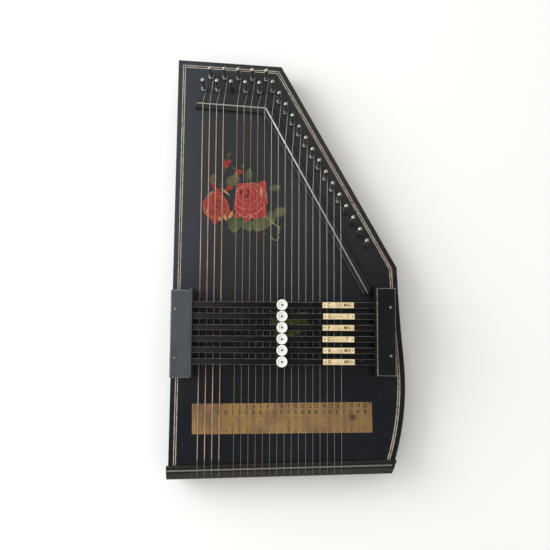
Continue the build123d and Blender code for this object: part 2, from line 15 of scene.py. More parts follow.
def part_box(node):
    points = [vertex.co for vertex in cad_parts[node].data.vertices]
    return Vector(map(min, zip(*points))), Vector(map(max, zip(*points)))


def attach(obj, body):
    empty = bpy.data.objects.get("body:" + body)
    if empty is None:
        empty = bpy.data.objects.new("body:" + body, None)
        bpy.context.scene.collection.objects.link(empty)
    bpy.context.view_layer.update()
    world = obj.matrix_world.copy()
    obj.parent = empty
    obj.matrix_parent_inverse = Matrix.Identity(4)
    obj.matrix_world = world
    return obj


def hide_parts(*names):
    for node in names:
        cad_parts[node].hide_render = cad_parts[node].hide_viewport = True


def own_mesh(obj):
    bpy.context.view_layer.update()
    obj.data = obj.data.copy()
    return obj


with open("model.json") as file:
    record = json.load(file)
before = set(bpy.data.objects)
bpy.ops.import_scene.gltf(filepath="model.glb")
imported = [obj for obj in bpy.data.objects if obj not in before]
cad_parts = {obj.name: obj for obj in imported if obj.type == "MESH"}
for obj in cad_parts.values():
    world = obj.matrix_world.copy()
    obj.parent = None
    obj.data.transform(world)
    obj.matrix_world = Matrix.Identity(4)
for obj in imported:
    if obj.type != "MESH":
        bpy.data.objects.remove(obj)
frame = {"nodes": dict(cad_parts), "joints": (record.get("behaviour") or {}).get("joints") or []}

LOG = logging.getLogger("chorded_zither")
MM = 0.001
PLACES = 25
BARS = 6
GOLDEN_TURN = 137.5
WAVE_PERIOD = 0.314

Colour = tuple[float, float, float]
Point = tuple[float, float]
Stop = tuple[float, Colour]
BMesh = bmesh.types.BMesh
Piece = bpy.types.Object
Material = bpy.types.Material
Socket = bpy.types.NodeSocket


class Slot(str, Enum):
    """Names of the record's material slots."""

    STRING = "string_steel"
    SPRING = "spring_steel"
    NICKEL = "nickel"


class Side(Enum):
    """The two ends of a chord bar, as the sign of X."""

    BASS = -1
    TREBLE = 1


class Growth(Enum):
    """How a painted patch narrows along its length."""

    PETAL = "petal"
    LEAF = "leaf"


class Graph:
    """A material's node tree, with one call for each kind of node it uses."""

    def __init__(self, name: str) -> None:
        """Starts a material with one surface shader.

        Args:
            name: The material's name.
        """
        self.material = bpy.data.materials.new(name)
        self.material.use_nodes = True
        self.nodes = self.material.node_tree.nodes
        self.links = self.material.node_tree.links
        self.nodes.clear()
        output = self.nodes.new("ShaderNodeOutputMaterial")
        self.shader = self.nodes.new("ShaderNodeBsdfPrincipled")
        self.links.new(self.shader.outputs["BSDF"], output.inputs["Surface"])
        self.places = self.nodes.new("ShaderNodeTexCoord")

    def plug(self, target: Socket, value: Socket | float | tuple) -> None:
        """Joins a socket to another, or sets its own value.

        Args:
            target: The socket to fill.
            value: A socket, a number or a colour.
        """
        if isinstance(value, bpy.types.NodeSocket):
            self.links.new(value, target)
        elif target.type == "RGBA":
            target.default_value = (*value, 1.0)
        else:
            target.default_value = value

    def spot(
        self, scale: Sequence[float] = (1, 1, 1), turn: float = 0.0, source: str = "Object"
    ) -> Socket:
        """A place on the surface, stretched and turned about Z.

        Args:
            scale: How much each axis is multiplied by.
            turn: The turn about Z, in degrees.
            source: The output of the texture coordinate node.

        Returns:
            The vector socket.
        """
        mapping = self.nodes.new("ShaderNodeMapping")
        mapping.inputs["Scale"].default_value = scale
        mapping.inputs["Rotation"].default_value = (0, 0, math.radians(turn))
        self.links.new(self.places.outputs[source], mapping.inputs["Vector"])
        return mapping.outputs["Vector"]

    def axis(self, name: str, source: str = "Object", turn: float = 0.0) -> Socket:
        """One coordinate of a place on the surface, as a number.

        Args:
            name: The axis: X, Y or Z.
            source: The output of the texture coordinate node.
            turn: The turn about Z, in degrees.

        Returns:
            The number socket.
        """
        split = self.nodes.new("ShaderNodeSeparateXYZ")
        self.links.new(self.spot(turn=turn, source=source), split.inputs["Vector"])
        return split.outputs[name]

    def noise(
        self, size: float, place: Socket | None = None, detail: float = 4.0, roughness: float = 0.55
    ) -> Socket:
        """Cloudy noise.

        Args:
            size: The size of its features, in metres on an unstretched place.
            place: The vector it reads, or none for the plain place.
            detail: How many finer layers it adds.
            roughness: How strong the finer layers are.

        Returns:
            A number socket around one half.
        """
        texture = self.nodes.new("ShaderNodeTexNoise")
        texture.inputs["Scale"].default_value = 1.0 / size
        texture.inputs["Detail"].default_value = detail
        texture.inputs["Roughness"].default_value = roughness
        self.links.new(place or self.spot(), texture.inputs["Vector"])
        return texture.outputs["Fac"]

    def cells(self, size: float, place: Socket | None = None, edges: bool = False) -> Socket:
        """Distance from scattered points, or from the cracks between their cells.

        Args:
            size: The distance between the points, in metres on an unstretched place.
            place: The vector it reads, or none for the plain place.
            edges: True for the distance from the cracks.

        Returns:
            A number socket.
        """
        texture = self.nodes.new("ShaderNodeTexVoronoi")
        texture.feature = "DISTANCE_TO_EDGE" if edges else "F1"
        texture.inputs["Scale"].default_value = 1.0 / size
        self.links.new(place or self.spot(), texture.inputs["Vector"])
        return texture.outputs["Distance"]

    def ramp(self, value: Socket, *stops: Stop) -> Socket:
        """A colour that follows a number.

        Args:
            value: The number socket.
            stops: Positions and their colours.

        Returns:
            The colour socket.
        """
        node = self.nodes.new("ShaderNodeValToRGB")
        points = node.color_ramp.elements
        while len(points) < len(stops):
            points.new(1.0)
        while len(points) > len(stops):
            points.remove(points[-1])
        for point, (position, colour) in zip(points, stops):
            point.position = position
            point.color = (*colour, 1.0)
        self.links.new(value, node.inputs["Fac"])
        return node.outputs["Color"]

    def span(
        self, value: Socket, start: float, end: float, low: float = 0.0, high: float = 1.0
    ) -> Socket:
        """A number mapped from one range to another and held inside it.

        Args:
            value: The number socket.
            start: The value that gives low.
            end: The value that gives high.
            low: The result at start.
            high: The result at end.

        Returns:
            The number socket.
        """
        node = self.nodes.new("ShaderNodeMapRange")
        for name, number in (
            ("From Min", start), ("From Max", end), ("To Min", low), ("To Max", high)
        ):
            node.inputs[name].default_value = number
        self.links.new(value, node.inputs["Value"])
        return node.outputs["Result"]

    def sum(self, operation: str, first: Socket | float, second: Socket | float) -> Socket:
        """Maths on two numbers, held from 0 to 1.

        Args:
            operation: The name of the maths node's operation.
            first: The first number.
            second: The second number.

        Returns:
            The number socket.
        """
        node = self.nodes.new("ShaderNodeMath")
        node.operation = operation
        node.use_clamp = True
        self.plug(node.inputs[0], first)
        self.plug(node.inputs[1], second)
        return node.outputs["Value"]

    def blend(
        self, share: Socket | float, first: Socket | Colour, second: Socket | Colour
    ) -> Socket:
        """Two colours mixed.

        Args:
            share: How much of the second colour there is.
            first: The colour at 0.
            second: The colour at 1.

        Returns:
            The colour socket.
        """
        node = self.nodes.new("ShaderNodeMix")
        node.data_type = "RGBA"
        sockets = [socket for socket in node.inputs if socket.type == "RGBA"]
        self.plug(node.inputs[0], share)
        self.plug(sockets[0], first)
        self.plug(sockets[1], second)
        return next(socket for socket in node.outputs if socket.type == "RGBA")

    def stained(
        self, tone: Socket | Colour, stain: Socket | Colour, value: Socket, start: float,
        end: float, low: float = 0.0, high: float = 1.0,
    ) -> Socket:
        """A colour that another covers as a number goes through a range.

        Args:
            tone: The colour underneath.
            stain: The colour that covers it.
            value: The number socket.
            start: The value that gives low.
            end: The value that gives high.
            low: The share of the stain at start.
            high: The share of the stain at end.

        Returns:
            The colour socket.
        """
        return self.blend(self.span(value, start, end, low, high), tone, stain)

    def within(self, value: Socket, start: float, end: float, soft: float) -> Socket:
        """One inside a range and nothing outside it, with soft ends."""
        rise = self.span(value, start - soft, start)
        fall = self.span(value, end + soft, end)
        return self.sum("MULTIPLY", rise, fall)

    def named(self, attribute: str) -> Socket:
        """The number that a mesh attribute holds."""
        node = self.nodes.new("ShaderNodeAttribute")
        node.attribute_name = attribute
        return node.outputs["Fac"]

    def relief(self, height: Socket, depth: float, under: Socket | None = None) -> Socket:
        """A bump.

        Args:
            height: The height, from 0 to 1.
            depth: The real height that 1 stands for, in metres.
            under: Another bump that this one lies on.

        Returns:
            The normal socket.
        """
        node = self.nodes.new("ShaderNodeBump")
        node.inputs["Strength"].default_value = 1.0
        node.inputs["Distance"].default_value = depth
        self.links.new(height, node.inputs["Height"])
        if under is not None:
            self.links.new(under, node.inputs["Normal"])
        return node.outputs["Normal"]

    def done(self, **inputs: Socket | float | tuple) -> Material:
        """Fills the shader's sockets.

        Args:
            inputs: The value of each socket, named with underscores for spaces.

        Returns:
            The material.
        """
        for name, value in inputs.items():
            self.plug(self.shader.inputs[name.replace("_", " ")], value)
        return self.material


@dataclass(frozen=True)
class Finish:
    """A surface finish, made as a material of its own name."""

    name: str

    def paint(self, graph: Graph) -> Material:
        """Lays the finish on a graph. Each finish has its own way."""
        raise NotImplementedError

    def material(self) -> Material:
        """The finish as a material."""
        return self.paint(Graph(self.name))


@dataclass(frozen=True)
class BlackLacquer(Finish):
    """Old black lacquer on wood, worn to grey and brown along its edges, with painted shade that
    darkens it from the bass side to the treble side and, where the edge wear is strong, a painted
    highlight along its rounded edges.
    """

    bass: Colour = (0.034, 0.038, 0.046)
    treble: Colour = (0.006, 0.007, 0.010)
    middle: Colour | None = None
    worn: Colour = (0.085, 0.075, 0.065)
    haze: Colour = (0.022, 0.023, 0.026)
    treble_shade_span: Point = (-0.07, 0.10)
    treble_shade_turn: float = 65.0
    polish: float = 0.30
    edge_wear_and_highlight: float = 0.6
    shine: float = 0.15
    along_y: bool = True

    def paint(self, graph: Graph) -> Material:
        """Lays the finish on a graph and returns its material."""
        # Painted shade: the colour darkens from the bass colour to the treble colour across a
        # turned X, standing in for light falling from the bass side.
        side = graph.span(graph.axis("X", turn=self.treble_shade_turn), *self.treble_shade_span)
        start = self.bass
        if self.middle is not None:
            start = graph.blend(graph.span(graph.axis("X"), -0.115, -0.045), self.bass, self.middle)
        depth = graph.blend(side, start, self.treble)
        stretch = (1.0, 0.05, 1.0) if self.along_y else (0.05, 1.0, 1.0)
        grain = graph.noise(0.0011, graph.spot(stretch), 5.0, 0.6)
        cloud = graph.noise(0.045, detail=5.0)
        rubbed = graph.span(cloud, 0.50, 0.78, 0.0, 0.35)
        tone = graph.blend(rubbed, depth, self.haze)
        scratch = graph.noise(0.0007, graph.spot(stretch, 3.0), 2.0)
        scratch = graph.span(scratch, 0.70, 0.74, 0.0, 0.45)
        tone = graph.blend(scratch, tone, self.worn)
        speck = graph.span(graph.cells(0.0065), 0.035, 0.022, 0.0, 0.55)
        tone = graph.blend(speck, tone, self.worn)
        # Sloped faces along rounded edges take the worn colour: real edge wear, and where the edge
        # wear is strong, as on the bars and holders, a painted highlight along the edges.
        facing = graph.axis("Z", "Normal")
        sloped = graph.sum(
            "MULTIPLY", graph.span(facing, 0.10, 0.30), graph.span(facing, 0.985, 0.90)
        )
        chipped = graph.span(graph.noise(0.004, detail=6.0), 0.36, 0.60, 0.35, 1.0)
        edge = graph.sum("MULTIPLY", graph.sum("MULTIPLY", sloped, chipped), self.edge_wear_and_highlight)
        tone = graph.blend(edge, tone, self.worn)
        dull = graph.span(cloud, 0.35, 0.75, self.polish - 0.06, self.polish + 0.14)
        dull = graph.sum("ADD", dull, graph.sum("MULTIPLY", scratch, 0.4))
        skin = graph.relief(graph.noise(0.0035, detail=2.0), 0.00004)
        skin = graph.relief(grain, 0.000025, skin)
        return graph.done(
            Base_Color=tone, Roughness=dull, Normal=skin, Specular_IOR_Level=self.shine
        )


@dataclass(frozen=True)
class BareWood(Finish):
    """Unfinished softwood with long grain."""

    light: Colour = (0.62, 0.46, 0.28)
    dark: Colour = (0.40, 0.26, 0.14)

    def paint(self, graph: Graph) -> Material:
        """Lays the finish on a graph and returns its material."""
        grain = graph.noise(0.003, graph.spot((0.06, 1.0, 1.0)), 6.0, 0.65)
        tone = graph.ramp(grain, (0.35, self.dark), (0.62, self.light))
        rough = graph.span(grain, 0.3, 0.7, 0.62, 0.80)
        return graph.done(
            Base_Color=tone, Roughness=rough, Normal=graph.relief(grain, 0.0001)
        )


@dataclass(frozen=True)
class AgedMetal(Finish):
    """Plain metal with tarnish and fine marks, in colours that follow one axis."""

    stained: Colour
    tones: tuple[Stop, ...]
    axis: str = "X"
    rough: float = 0.28
    stain: float = 0.5
    mark: float = 0.0008

    def base(self, graph: Graph) -> Socket:
        """The metal's colour, from its places in metres along its axis; on some parts this holds
        painted light and shade.
        """
        low = self.tones[0][0]
        reach = self.tones[-1][0] - low or 1.0
        along = graph.span(graph.axis(self.axis), low, low + reach)
        return graph.ramp(along, *(((at - low) / reach, colour) for at, colour in self.tones))

    def paint(self, graph: Graph) -> Material:
        """Lays the finish on a graph and returns its material."""
        cloud = graph.noise(self.mark * 4, detail=5.0, roughness=0.65)
        tone = graph.stained(self.base(graph), self.stained, cloud, 0.42, 0.70, 0.0, self.stain)
        dull = graph.span(cloud, 0.35, 0.70, self.rough - 0.07, self.rough + 0.18)
        marks = graph.noise(self.mark, graph.spot((1.0, 0.2, 1.0)), 3.0)
        return graph.done(
            Base_Color=tone, Metallic=1.0, Roughness=dull, Normal=graph.relief(marks, 0.00002)
        )


@dataclass(frozen=True)
class StringWire(AgedMetal):
    """Steel music wire, with a few strings that are brown below the bridge."""

    brown: Colour = (0.30, 0.215, 0.165)
    brown_x: Point = (-0.066, -0.027)
    brown_y: Point = (-0.300, 0.168)

    def base(self, graph: Graph) -> Socket:
        """The steel's colour, with the brown strings over it."""
        steel = super().base(graph)
        across = graph.within(graph.axis("X"), *self.brown_x, 0.002)
        along = graph.within(graph.axis("Y"), *self.brown_y, 0.006)
        return graph.blend(graph.sum("MULTIPLY", across, along), steel, self.brown)


@dataclass(frozen=True)
class CopperWinding(Finish):
    """Close turns of copper wire round a string, browned between the turns."""

    bright: Colour = (0.50, 0.345, 0.27)
    brown: Colour = (0.20, 0.125, 0.09)
    turn: float = 0.0007

    def paint(self, graph: Graph) -> Material:
        """Lays the finish on a graph and returns its material."""
        wave = graph.nodes.new("ShaderNodeTexWave")
        wave.bands_direction = "Y"
        wave.inputs["Scale"].default_value = WAVE_PERIOD / self.turn
        graph.links.new(graph.spot(), wave.inputs["Vector"])
        groove = wave.outputs["Fac"]
        cloud = graph.noise(0.012, graph.spot((1.0, 0.3, 1.0)), 5.0)
        age = graph.span(cloud, 0.38, 0.70, 0.0, 0.75)
        tone = graph.blend(age, self.bright, self.brown)
        tone = graph.stained(tone, self.brown, groove, 0.35, 0.0, 0.0, 0.5)
        dull = graph.span(cloud, 0.35, 0.70, 0.34, 0.56)
        return graph.done(
            Base_Color=tone, Metallic=0.85, Roughness=dull, Normal=graph.relief(groove, 0.00008)
        )


@dataclass(frozen=True)
class WoolFelt(Finish):
    """Pressed wool felt."""

    dark: Colour = (0.10, 0.04, 0.03)
    light: Colour = (0.24, 0.12, 0.09)

    def paint(self, graph: Graph) -> Material:
        """Lays the finish on a graph and returns its material."""
        fibre = graph.noise(0.0006, detail=6.0, roughness=0.7)
        tone = graph.ramp(fibre, (0.35, self.dark), (0.70, self.light))
        rough = graph.span(fibre, 0.3, 0.7, 0.85, 0.98)
        return graph.done(
            Base_Color=tone, Roughness=rough, Normal=graph.relief(fibre, 0.0002),
            Sheen_Weight=0.35, Sheen_Roughness=0.5,
        )


@dataclass(frozen=True)
class TurnedBone(Finish):
    """A white turned button with dirt in its dish and fine turning marks."""

    floor: float
    white: Colour = (0.86, 0.85, 0.80)
    dirt: Colour = (0.40, 0.34, 0.25)

    def paint(self, graph: Graph) -> Material:
        """Lays the finish on a graph and returns its material."""
        level = graph.span(graph.axis("Z"), self.floor - 0.0002, self.floor + 0.0009, 1.0, 0.0)
        stain = graph.noise(0.0016, detail=5.0)
        grime = graph.sum("MULTIPLY", level, graph.span(stain, 0.38, 0.66, 0.02, 0.42))
        tone = graph.blend(grime, self.white, self.dirt)
        tone = graph.stained(tone, self.dirt, stain, 0.58, 0.75, 0.0, 0.2)
        rough = graph.span(stain, 0.3, 0.7, 0.30, 0.48)
        rings = graph.noise(0.0004, graph.spot((1.0, 1.0, 0.1)), 2.0)
        return graph.done(
            Base_Color=tone, Roughness=rough, Normal=graph.relief(rings, 0.00002),
            Subsurface_Weight=0.08,
        )


@dataclass(frozen=True)
class TransferPaint(Finish):
    """Paint of a transfer picture, laid from the foot of each patch to its lip."""

    foot: Colour
    body: Colour
    lip: Colour
    other: Colour
    lip_from: float = 0.86

    def paint(self, graph: Graph) -> Material:
        """Lays the finish on a graph and returns its material."""
        along = graph.axis("Y", "UV")
        streak = graph.noise(0.12, graph.spot((1.0, 0.18, 1.0), source="UV"), 5.0, 0.6)
        height = graph.sum("ADD", along, graph.span(streak, 0.3, 0.7, -0.12, 0.12))
        tone = graph.ramp(
            height, (0.10, self.foot), (0.62, self.body), (self.lip_from, self.body),
            (0.97, self.lip),
        )
        streaky = graph.span(streak, 0.25, 0.75, 0.35, 1.0)
        tinge = graph.sum("MULTIPLY", graph.named("tone"), streaky)
        tone = graph.blend(tinge, tone, self.other)
        crack = graph.span(graph.cells(0.0032, edges=True), 0.030, 0.008, 0.0, 0.55)
        tone = graph.blend(crack, tone, (0.02, 0.015, 0.012))
        rubbed = graph.span(graph.noise(0.006, detail=6.0), 0.60, 0.72, 0.0, 0.6)
        tone = graph.blend(rubbed, tone, (0.035, 0.028, 0.024))
        dull = graph.span(streak, 0.3, 0.7, 0.36, 0.52)
        return graph.done(
            Base_Color=tone, Roughness=dull, Normal=graph.relief(streak, 0.00004),
            Specular_IOR_Level=0.2,
        )


@dataclass(frozen=True)
class LinePaint(Finish):
    """Cream lining paint, rubbed thin, pinker in broad patches."""

    cream: Colour = (0.42, 0.41, 0.32)
    pink: Colour = (0.40, 0.29, 0.25)
    under: Colour = (0.06, 0.055, 0.05)

    def paint(self, graph: Graph) -> Material:
        """Lays the finish on a graph and returns its material."""
        tint = graph.noise(0.07, detail=2.0)
        tone = graph.stained(self.cream, self.pink, tint, 0.45, 0.62)
        worn = graph.noise(0.005, detail=6.0, roughness=0.7)
        tone = graph.stained(tone, self.under, worn, 0.48, 0.68, 0.0, 0.8)
        dull = graph.span(worn, 0.3, 0.7, 0.36, 0.58)
        return graph.done(Base_Color=tone, Roughness=dull, Normal=graph.relief(worn, 0.00003))


@dataclass(frozen=True)
class GiltPaper(Finish):
    """Gold-printed paper, browned in streaks and stained near one end."""

    stain_at: Point
    gold: Colour = (0.285, 0.165, 0.045)
    ochre: Colour = (0.200, 0.108, 0.040)
    brown: Colour = (0.085, 0.042, 0.020)
    pale: Colour = (0.380, 0.270, 0.130)

    def paint(self, graph: Graph) -> Material:
        """Lays the finish on a graph and returns its material."""
        cloud = graph.noise(0.030, detail=5.0)
        tone = graph.ramp(cloud, (0.34, self.ochre), (0.50, self.gold), (0.68, self.gold))
        streak = graph.noise(0.0045, graph.spot((1.0, 0.12, 1.0)), 4.0)
        tone = graph.stained(tone, self.brown, streak, 0.52, 0.72, 0.0, 0.55)
        fleck = graph.noise(0.0014, detail=5.0, roughness=0.7)
        tone = graph.stained(tone, self.brown, fleck, 0.58, 0.74, 0.0, 0.7)
        tone = graph.stained(tone, self.pale, fleck, 0.40, 0.28, 0.0, 0.5)
        bass = graph.span(graph.axis("X"), -0.052, -0.095, 0.0, 0.45)
        bass = graph.sum("MULTIPLY", bass, graph.span(streak, 0.35, 0.6))
        tone = graph.blend(bass, tone, self.brown)
        treble = graph.span(graph.axis("X"), 0.010, 0.100, 0.0, 0.50)
        treble = graph.sum("MULTIPLY", treble, graph.span(cloud, 0.3, 0.6))
        tone = graph.blend(treble, tone, self.brown)
        offset = graph.nodes.new("ShaderNodeVectorMath")
        offset.operation = "DISTANCE"
        graph.links.new(graph.spot((1.0, 1.0, 0.0)), offset.inputs[0])
        offset.inputs[1].default_value = (self.stain_at[0] * MM, self.stain_at[1] * MM, 0.0)
        torn = graph.span(fleck, 0.3, 0.7, -0.003, 0.003)
        ragged = graph.sum("ADD", offset.outputs["Value"], torn)
        tone = graph.stained(tone, (0.025, 0.012, 0.010), ragged, 0.0042, 0.0022, 0.0, 0.9)
        dull = graph.span(cloud, 0.3, 0.7, 0.42, 0.62)
        return graph.done(
            Base_Color=tone, Roughness=dull, Normal=graph.relief(fleck, 0.00006),
            Specular_IOR_Level=0.4,
        )


@dataclass(frozen=True)
class CreamPaper(Finish):
    """Yellowed label paper with brown fibres."""

    cream: Colour = (0.74, 0.62, 0.38)
    yellow: Colour = (0.60, 0.46, 0.22)
    brown: Colour = (0.30, 0.17, 0.07)

    def paint(self, graph: Graph) -> Material:
        """Lays the finish on a graph and returns its material."""
        cloud = graph.noise(0.008, detail=5.0)
        tone = graph.stained(self.cream, self.yellow, cloud, 0.40, 0.66)
        fibre = graph.noise(0.0007, graph.spot((0.4, 1.0, 1.0)), 5.0, 0.7)
        tone = graph.stained(tone, self.brown, fibre, 0.60, 0.76, 0.0, 0.4)
        dull = graph.span(fibre, 0.3, 0.7, 0.62, 0.82)
        return graph.done(Base_Color=tone, Roughness=dull, Normal=graph.relief(fibre, 0.00004))


@dataclass(frozen=True)
class PrintInk(Finish):
    """Old printing ink, broken up where it has worn."""

    ink: Colour
    faded: Colour

    def paint(self, graph: Graph) -> Material:
        """Lays the finish on a graph and returns its material."""
        worn = graph.noise(0.0012, detail=5.0, roughness=0.7)
        tone = graph.stained(self.ink, self.faded, worn, 0.50, 0.66, 0.0, 0.85)
        dull = graph.span(worn, 0.3, 0.7, 0.50, 0.72)
        return graph.done(Base_Color=tone, Roughness=dull, Normal=graph.relief(worn, 0.00001))


@dataclass(frozen=True)
class PaleFloor(Finish):
    """Plain white board under the instrument."""

    white: Colour = (0.90, 0.905, 0.90)

    def paint(self, graph: Graph) -> Material:
        """Lays the finish on a graph and returns its material."""
        tooth = graph.noise(0.002, detail=4.0)
        tone = graph.stained(self.white, (0.80, 0.79, 0.76), tooth, 0.3, 0.7, 0.0, 0.03)
        return graph.done(Base_Color=tone, Roughness=0.9, Normal=graph.relief(tooth, 0.00002))


def placed(name: str, data: bpy.types.ID) -> Piece:
    """A new object in the scene that shows some data."""
    item = bpy.data.objects.new(name, data)
    bpy.context.scene.collection.objects.link(item)
    return item


def settle(
    mesh: BMesh, name: str, finish: Material, body: str, slot: Slot | None = None,
    smooth: bool = False,
) -> Piece:
    """Makes a finished bmesh a piece that rides on a body.

    Args:
        mesh: The bmesh, in metres in the shared frame. It is freed.
        name: The piece's name.
        finish: Its material.
        body: The body it rides on.
        slot: The record's slot for the piece; not used.
        smooth: True to shade it smooth.

    Returns:
        The new object.
    """
    data = bpy.data.meshes.new(name)
    for face in mesh.faces:
        face.smooth = smooth
    mesh.to_mesh(data)
    mesh.free()
    data.materials.append(finish)
    piece = placed(name, data)
    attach(piece, body)
    LOG.info("piece %s: %d faces, on %s", name, len(data.polygons), body)
    return piece


def outward(mesh: BMesh) -> None:
    """Merges a closed shell's doubles and turns its faces outwards."""
    bmesh.ops.remove_doubles(mesh, verts=mesh.verts, dist=1e-7)
    bmesh.ops.recalc_face_normals(mesh, faces=mesh.faces)


def height_on(start: Point, end: Point, x: float) -> float:
    """The Y of a line at a given X."""
    return start[1] + (end[1] - start[1]) * (x - start[0]) / (end[0] - start[0])


class Press:
    """Prints letters and figures as flat or slightly raised meshes."""

    def __init__(self) -> None:
        """Starts with no glyphs made."""
        self.made: dict[str, bpy.types.Mesh] = {}

    def glyphs(self, words: str) -> bpy.types.Mesh:
        """A word as a flat mesh one unit high, centred on the origin."""
        if words not in self.made:
            curve = bpy.data.curves.new("glyphs", "FONT")
            curve.body = words
            curve.size = 1.4
            curve.resolution_u = 2
            curve.offset = 0.03
            curve.align_x = "CENTER"
            curve.align_y = "CENTER"
            stand_in = placed("glyphs", curve)
            self.made[words] = bpy.data.meshes.new_from_object(stand_in)
            bpy.data.objects.remove(stand_in)
        return self.made[words]

    def print(
        self, mesh: BMesh, words: str, place: Matrix, height: float, squeeze: float
    ) -> None:
        """Adds a word to a bmesh.

        Args:
            mesh: The bmesh to print on.
            words: The word.
            place: Where its middle goes.
            height: Its height in metres.
            squeeze: How much narrower than usual it is.
        """
        known = len(mesh.verts)
        mesh.from_mesh(self.glyphs(words))
        mesh.verts.ensure_lookup_table()
        new = mesh.verts[known:]
        bmesh.ops.transform(
            mesh, matrix=place @ Matrix.Diagonal((height * squeeze, height, 1.0, 1.0)), verts=new
        )

    def discard(self) -> None:
        """Removes the glyph meshes."""
        for mesh in self.made.values():
            bpy.data.meshes.remove(mesh)
        self.made.clear()


def sheet_of_paper(
    size: Point, thickness: float, parts: tuple[int, int], ragged: Point, seed: int, place: Matrix
) -> BMesh:
    """A sheet of paper with slightly uneven edges.

    Args:
        size: Its length and width, in millimetres.
        thickness: Its thickness in millimetres.
        parts: How many faces it has along and across.
        ragged: How far its edges stray along and across, in millimetres.
        seed: The seed of its unevenness.
        place: Where the middle of its underside goes.

    Returns:
        The sheet as a closed bmesh.
    """
    chance = random.Random(seed)
    mesh = bmesh.new()
    bmesh.ops.create_grid(mesh, x_segments=parts[0], y_segments=parts[1], size=0.5)
    for vertex in mesh.verts:
        vertex.co.x *= size[0] * MM
        vertex.co.y *= size[1] * MM
        if vertex.is_boundary:
            vertex.co.x += chance.uniform(-ragged[0], ragged[0]) * MM
            vertex.co.y += chance.uniform(-ragged[1], ragged[1]) * MM
    top = bmesh.ops.extrude_face_region(mesh, geom=mesh.faces[:])["geom"]
    lifted = [item for item in top if isinstance(item, bmesh.types.BMVert)]
    bmesh.ops.translate(mesh, vec=(0.0, 0.0, thickness * MM), verts=lifted)
    bmesh.ops.transform(mesh, matrix=place, verts=mesh.verts)
    outward(mesh)
    return mesh


def bar_of_ink(mesh: BMesh, place: Matrix, length: float, width: float) -> None:
    """Adds a flat printed bar to a bmesh.

    Args:
        mesh: The bmesh to print on.
        place: Where its middle goes.
        length: Its length in metres.
        width: Its width in metres.
    """
    bmesh.ops.create_grid(
        mesh, x_segments=4, y_segments=1, size=0.5,
        matrix=place @ Matrix.Diagonal((length, width, 1.0, 1.0)),
    )


@dataclass
class Casework:
    """The CAD nodes that keep their shapes, and the finish of each."""

    bone_floor: float = 65.5

    def dress(self) -> None:
        """Gives every shown CAD node its finish."""
        # Every lacquer darkens from its bass colour to its treble colour: painted shade for light
        # falling from the bass side.
        board = BlackLacquer(
            "board_lacquer", middle=(0.026, 0.026, 0.027), treble=(0.004, 0.005, 0.008),
            polish=0.27, edge_wear_and_highlight=0.35,
        )
        body = BlackLacquer(
            "body_lacquer", worn=(0.10, 0.055, 0.035), polish=0.33, edge_wear_and_highlight=0.75
        )
        rail = BlackLacquer(
            "rail_lacquer", bass=(0.020, 0.021, 0.022), treble=(0.010, 0.010, 0.010),
            polish=0.42, edge_wear_and_highlight=0.45, along_y=False,
        )
        # The holders and bars are much lighter at the bass end, and their light worn colour with
        # strong edge wear paints a highlight along their rounded edges: painted light and shade.
        holder = BlackLacquer(
            "holder_lacquer", bass=(0.060, 0.068, 0.075), treble=(0.0025, 0.003, 0.003),
            worn=(0.17, 0.165, 0.15), treble_shade_span=(-0.05, 0.05), treble_shade_turn=0.0, polish=0.38, edge_wear_and_highlight=0.9,
        )
        bar = BlackLacquer(
            "bar_lacquer", bass=(0.018, 0.017, 0.016), treble=(0.002, 0.002, 0.002),
            worn=(0.17, 0.165, 0.155), treble_shade_span=(-0.115, -0.03), treble_shade_turn=0.0, polish=0.34,
            edge_wear_and_highlight=1.0, shine=0.10, along_y=False,
        )
        finishes = {
            ("soundboard",): board,
            ("back_board", "side_rails", "pin_block", "tail_block"): body,
            ("bridge_rail", "tail_rail"): rail,
            ("holders", "holder_caps", "guide_plates"): holder,
            tuple(f"chord_bar_{n}" for n in range(1, BARS + 1)): bar,
            ("braces",): BareWood("brace_spruce"),
            # The bearing wire brightens towards its upper run and dims towards its ends: painted
            # highlight and shade along the wire.
            ("bearing_wires",): AgedMetal(
                "bearing_wire_metal", (0.24, 0.22, 0.19),
                ((-0.20, (0.22, 0.21, 0.185)), (-0.035, (0.20, 0.20, 0.19)),
                 (0.05, (0.36, 0.36, 0.35)), (0.17, (0.58, 0.58, 0.56)),
                 (0.19, (0.38, 0.375, 0.34))),
                axis="Y", rough=0.30,
            ),
            ("hitch_pins",): AgedMetal(
                "hitch_pin_metal", (0.20, 0.15, 0.11), ((0.0, (0.52, 0.50, 0.46)),)
            ),
            ("cap_screws",): AgedMetal(
                "screw_nickel", (0.16, 0.14, 0.11), ((0.0, (0.24, 0.235, 0.225)),), rough=0.32
            ),
            ("string_windings",): CopperWinding("winding_copper"),
            tuple(f"felt_pads_{n}" for n in range(1, BARS + 1)): WoolFelt("damper_felt"),
            # The pins' domed tops are brighter than their shafts: a painted highlight.
            tuple(f"tuning_pin_{n:02d}" for n in range(1, PLACES + 1)): AgedMetal(
                "tuning_pin_steel", (0.05, 0.045, 0.04),
                ((0.0570, (0.34, 0.335, 0.325)), (0.0595, (0.42, 0.415, 0.40))),
                axis="Z", rough=0.30, stain=0.35, mark=0.002,
            ),
            tuple(f"button_{n}" for n in range(1, BARS + 1)): TurnedBone(
                "button_bone", self.bone_floor * MM
            ),
        }
        for names, finish in finishes.items():
            material = finish.material()
            for name in names:
                node = frame["nodes"][name]
                node.data.materials.clear()
                node.data.materials.append(material)
                LOG.info("node %s: %s", name, finish.name)


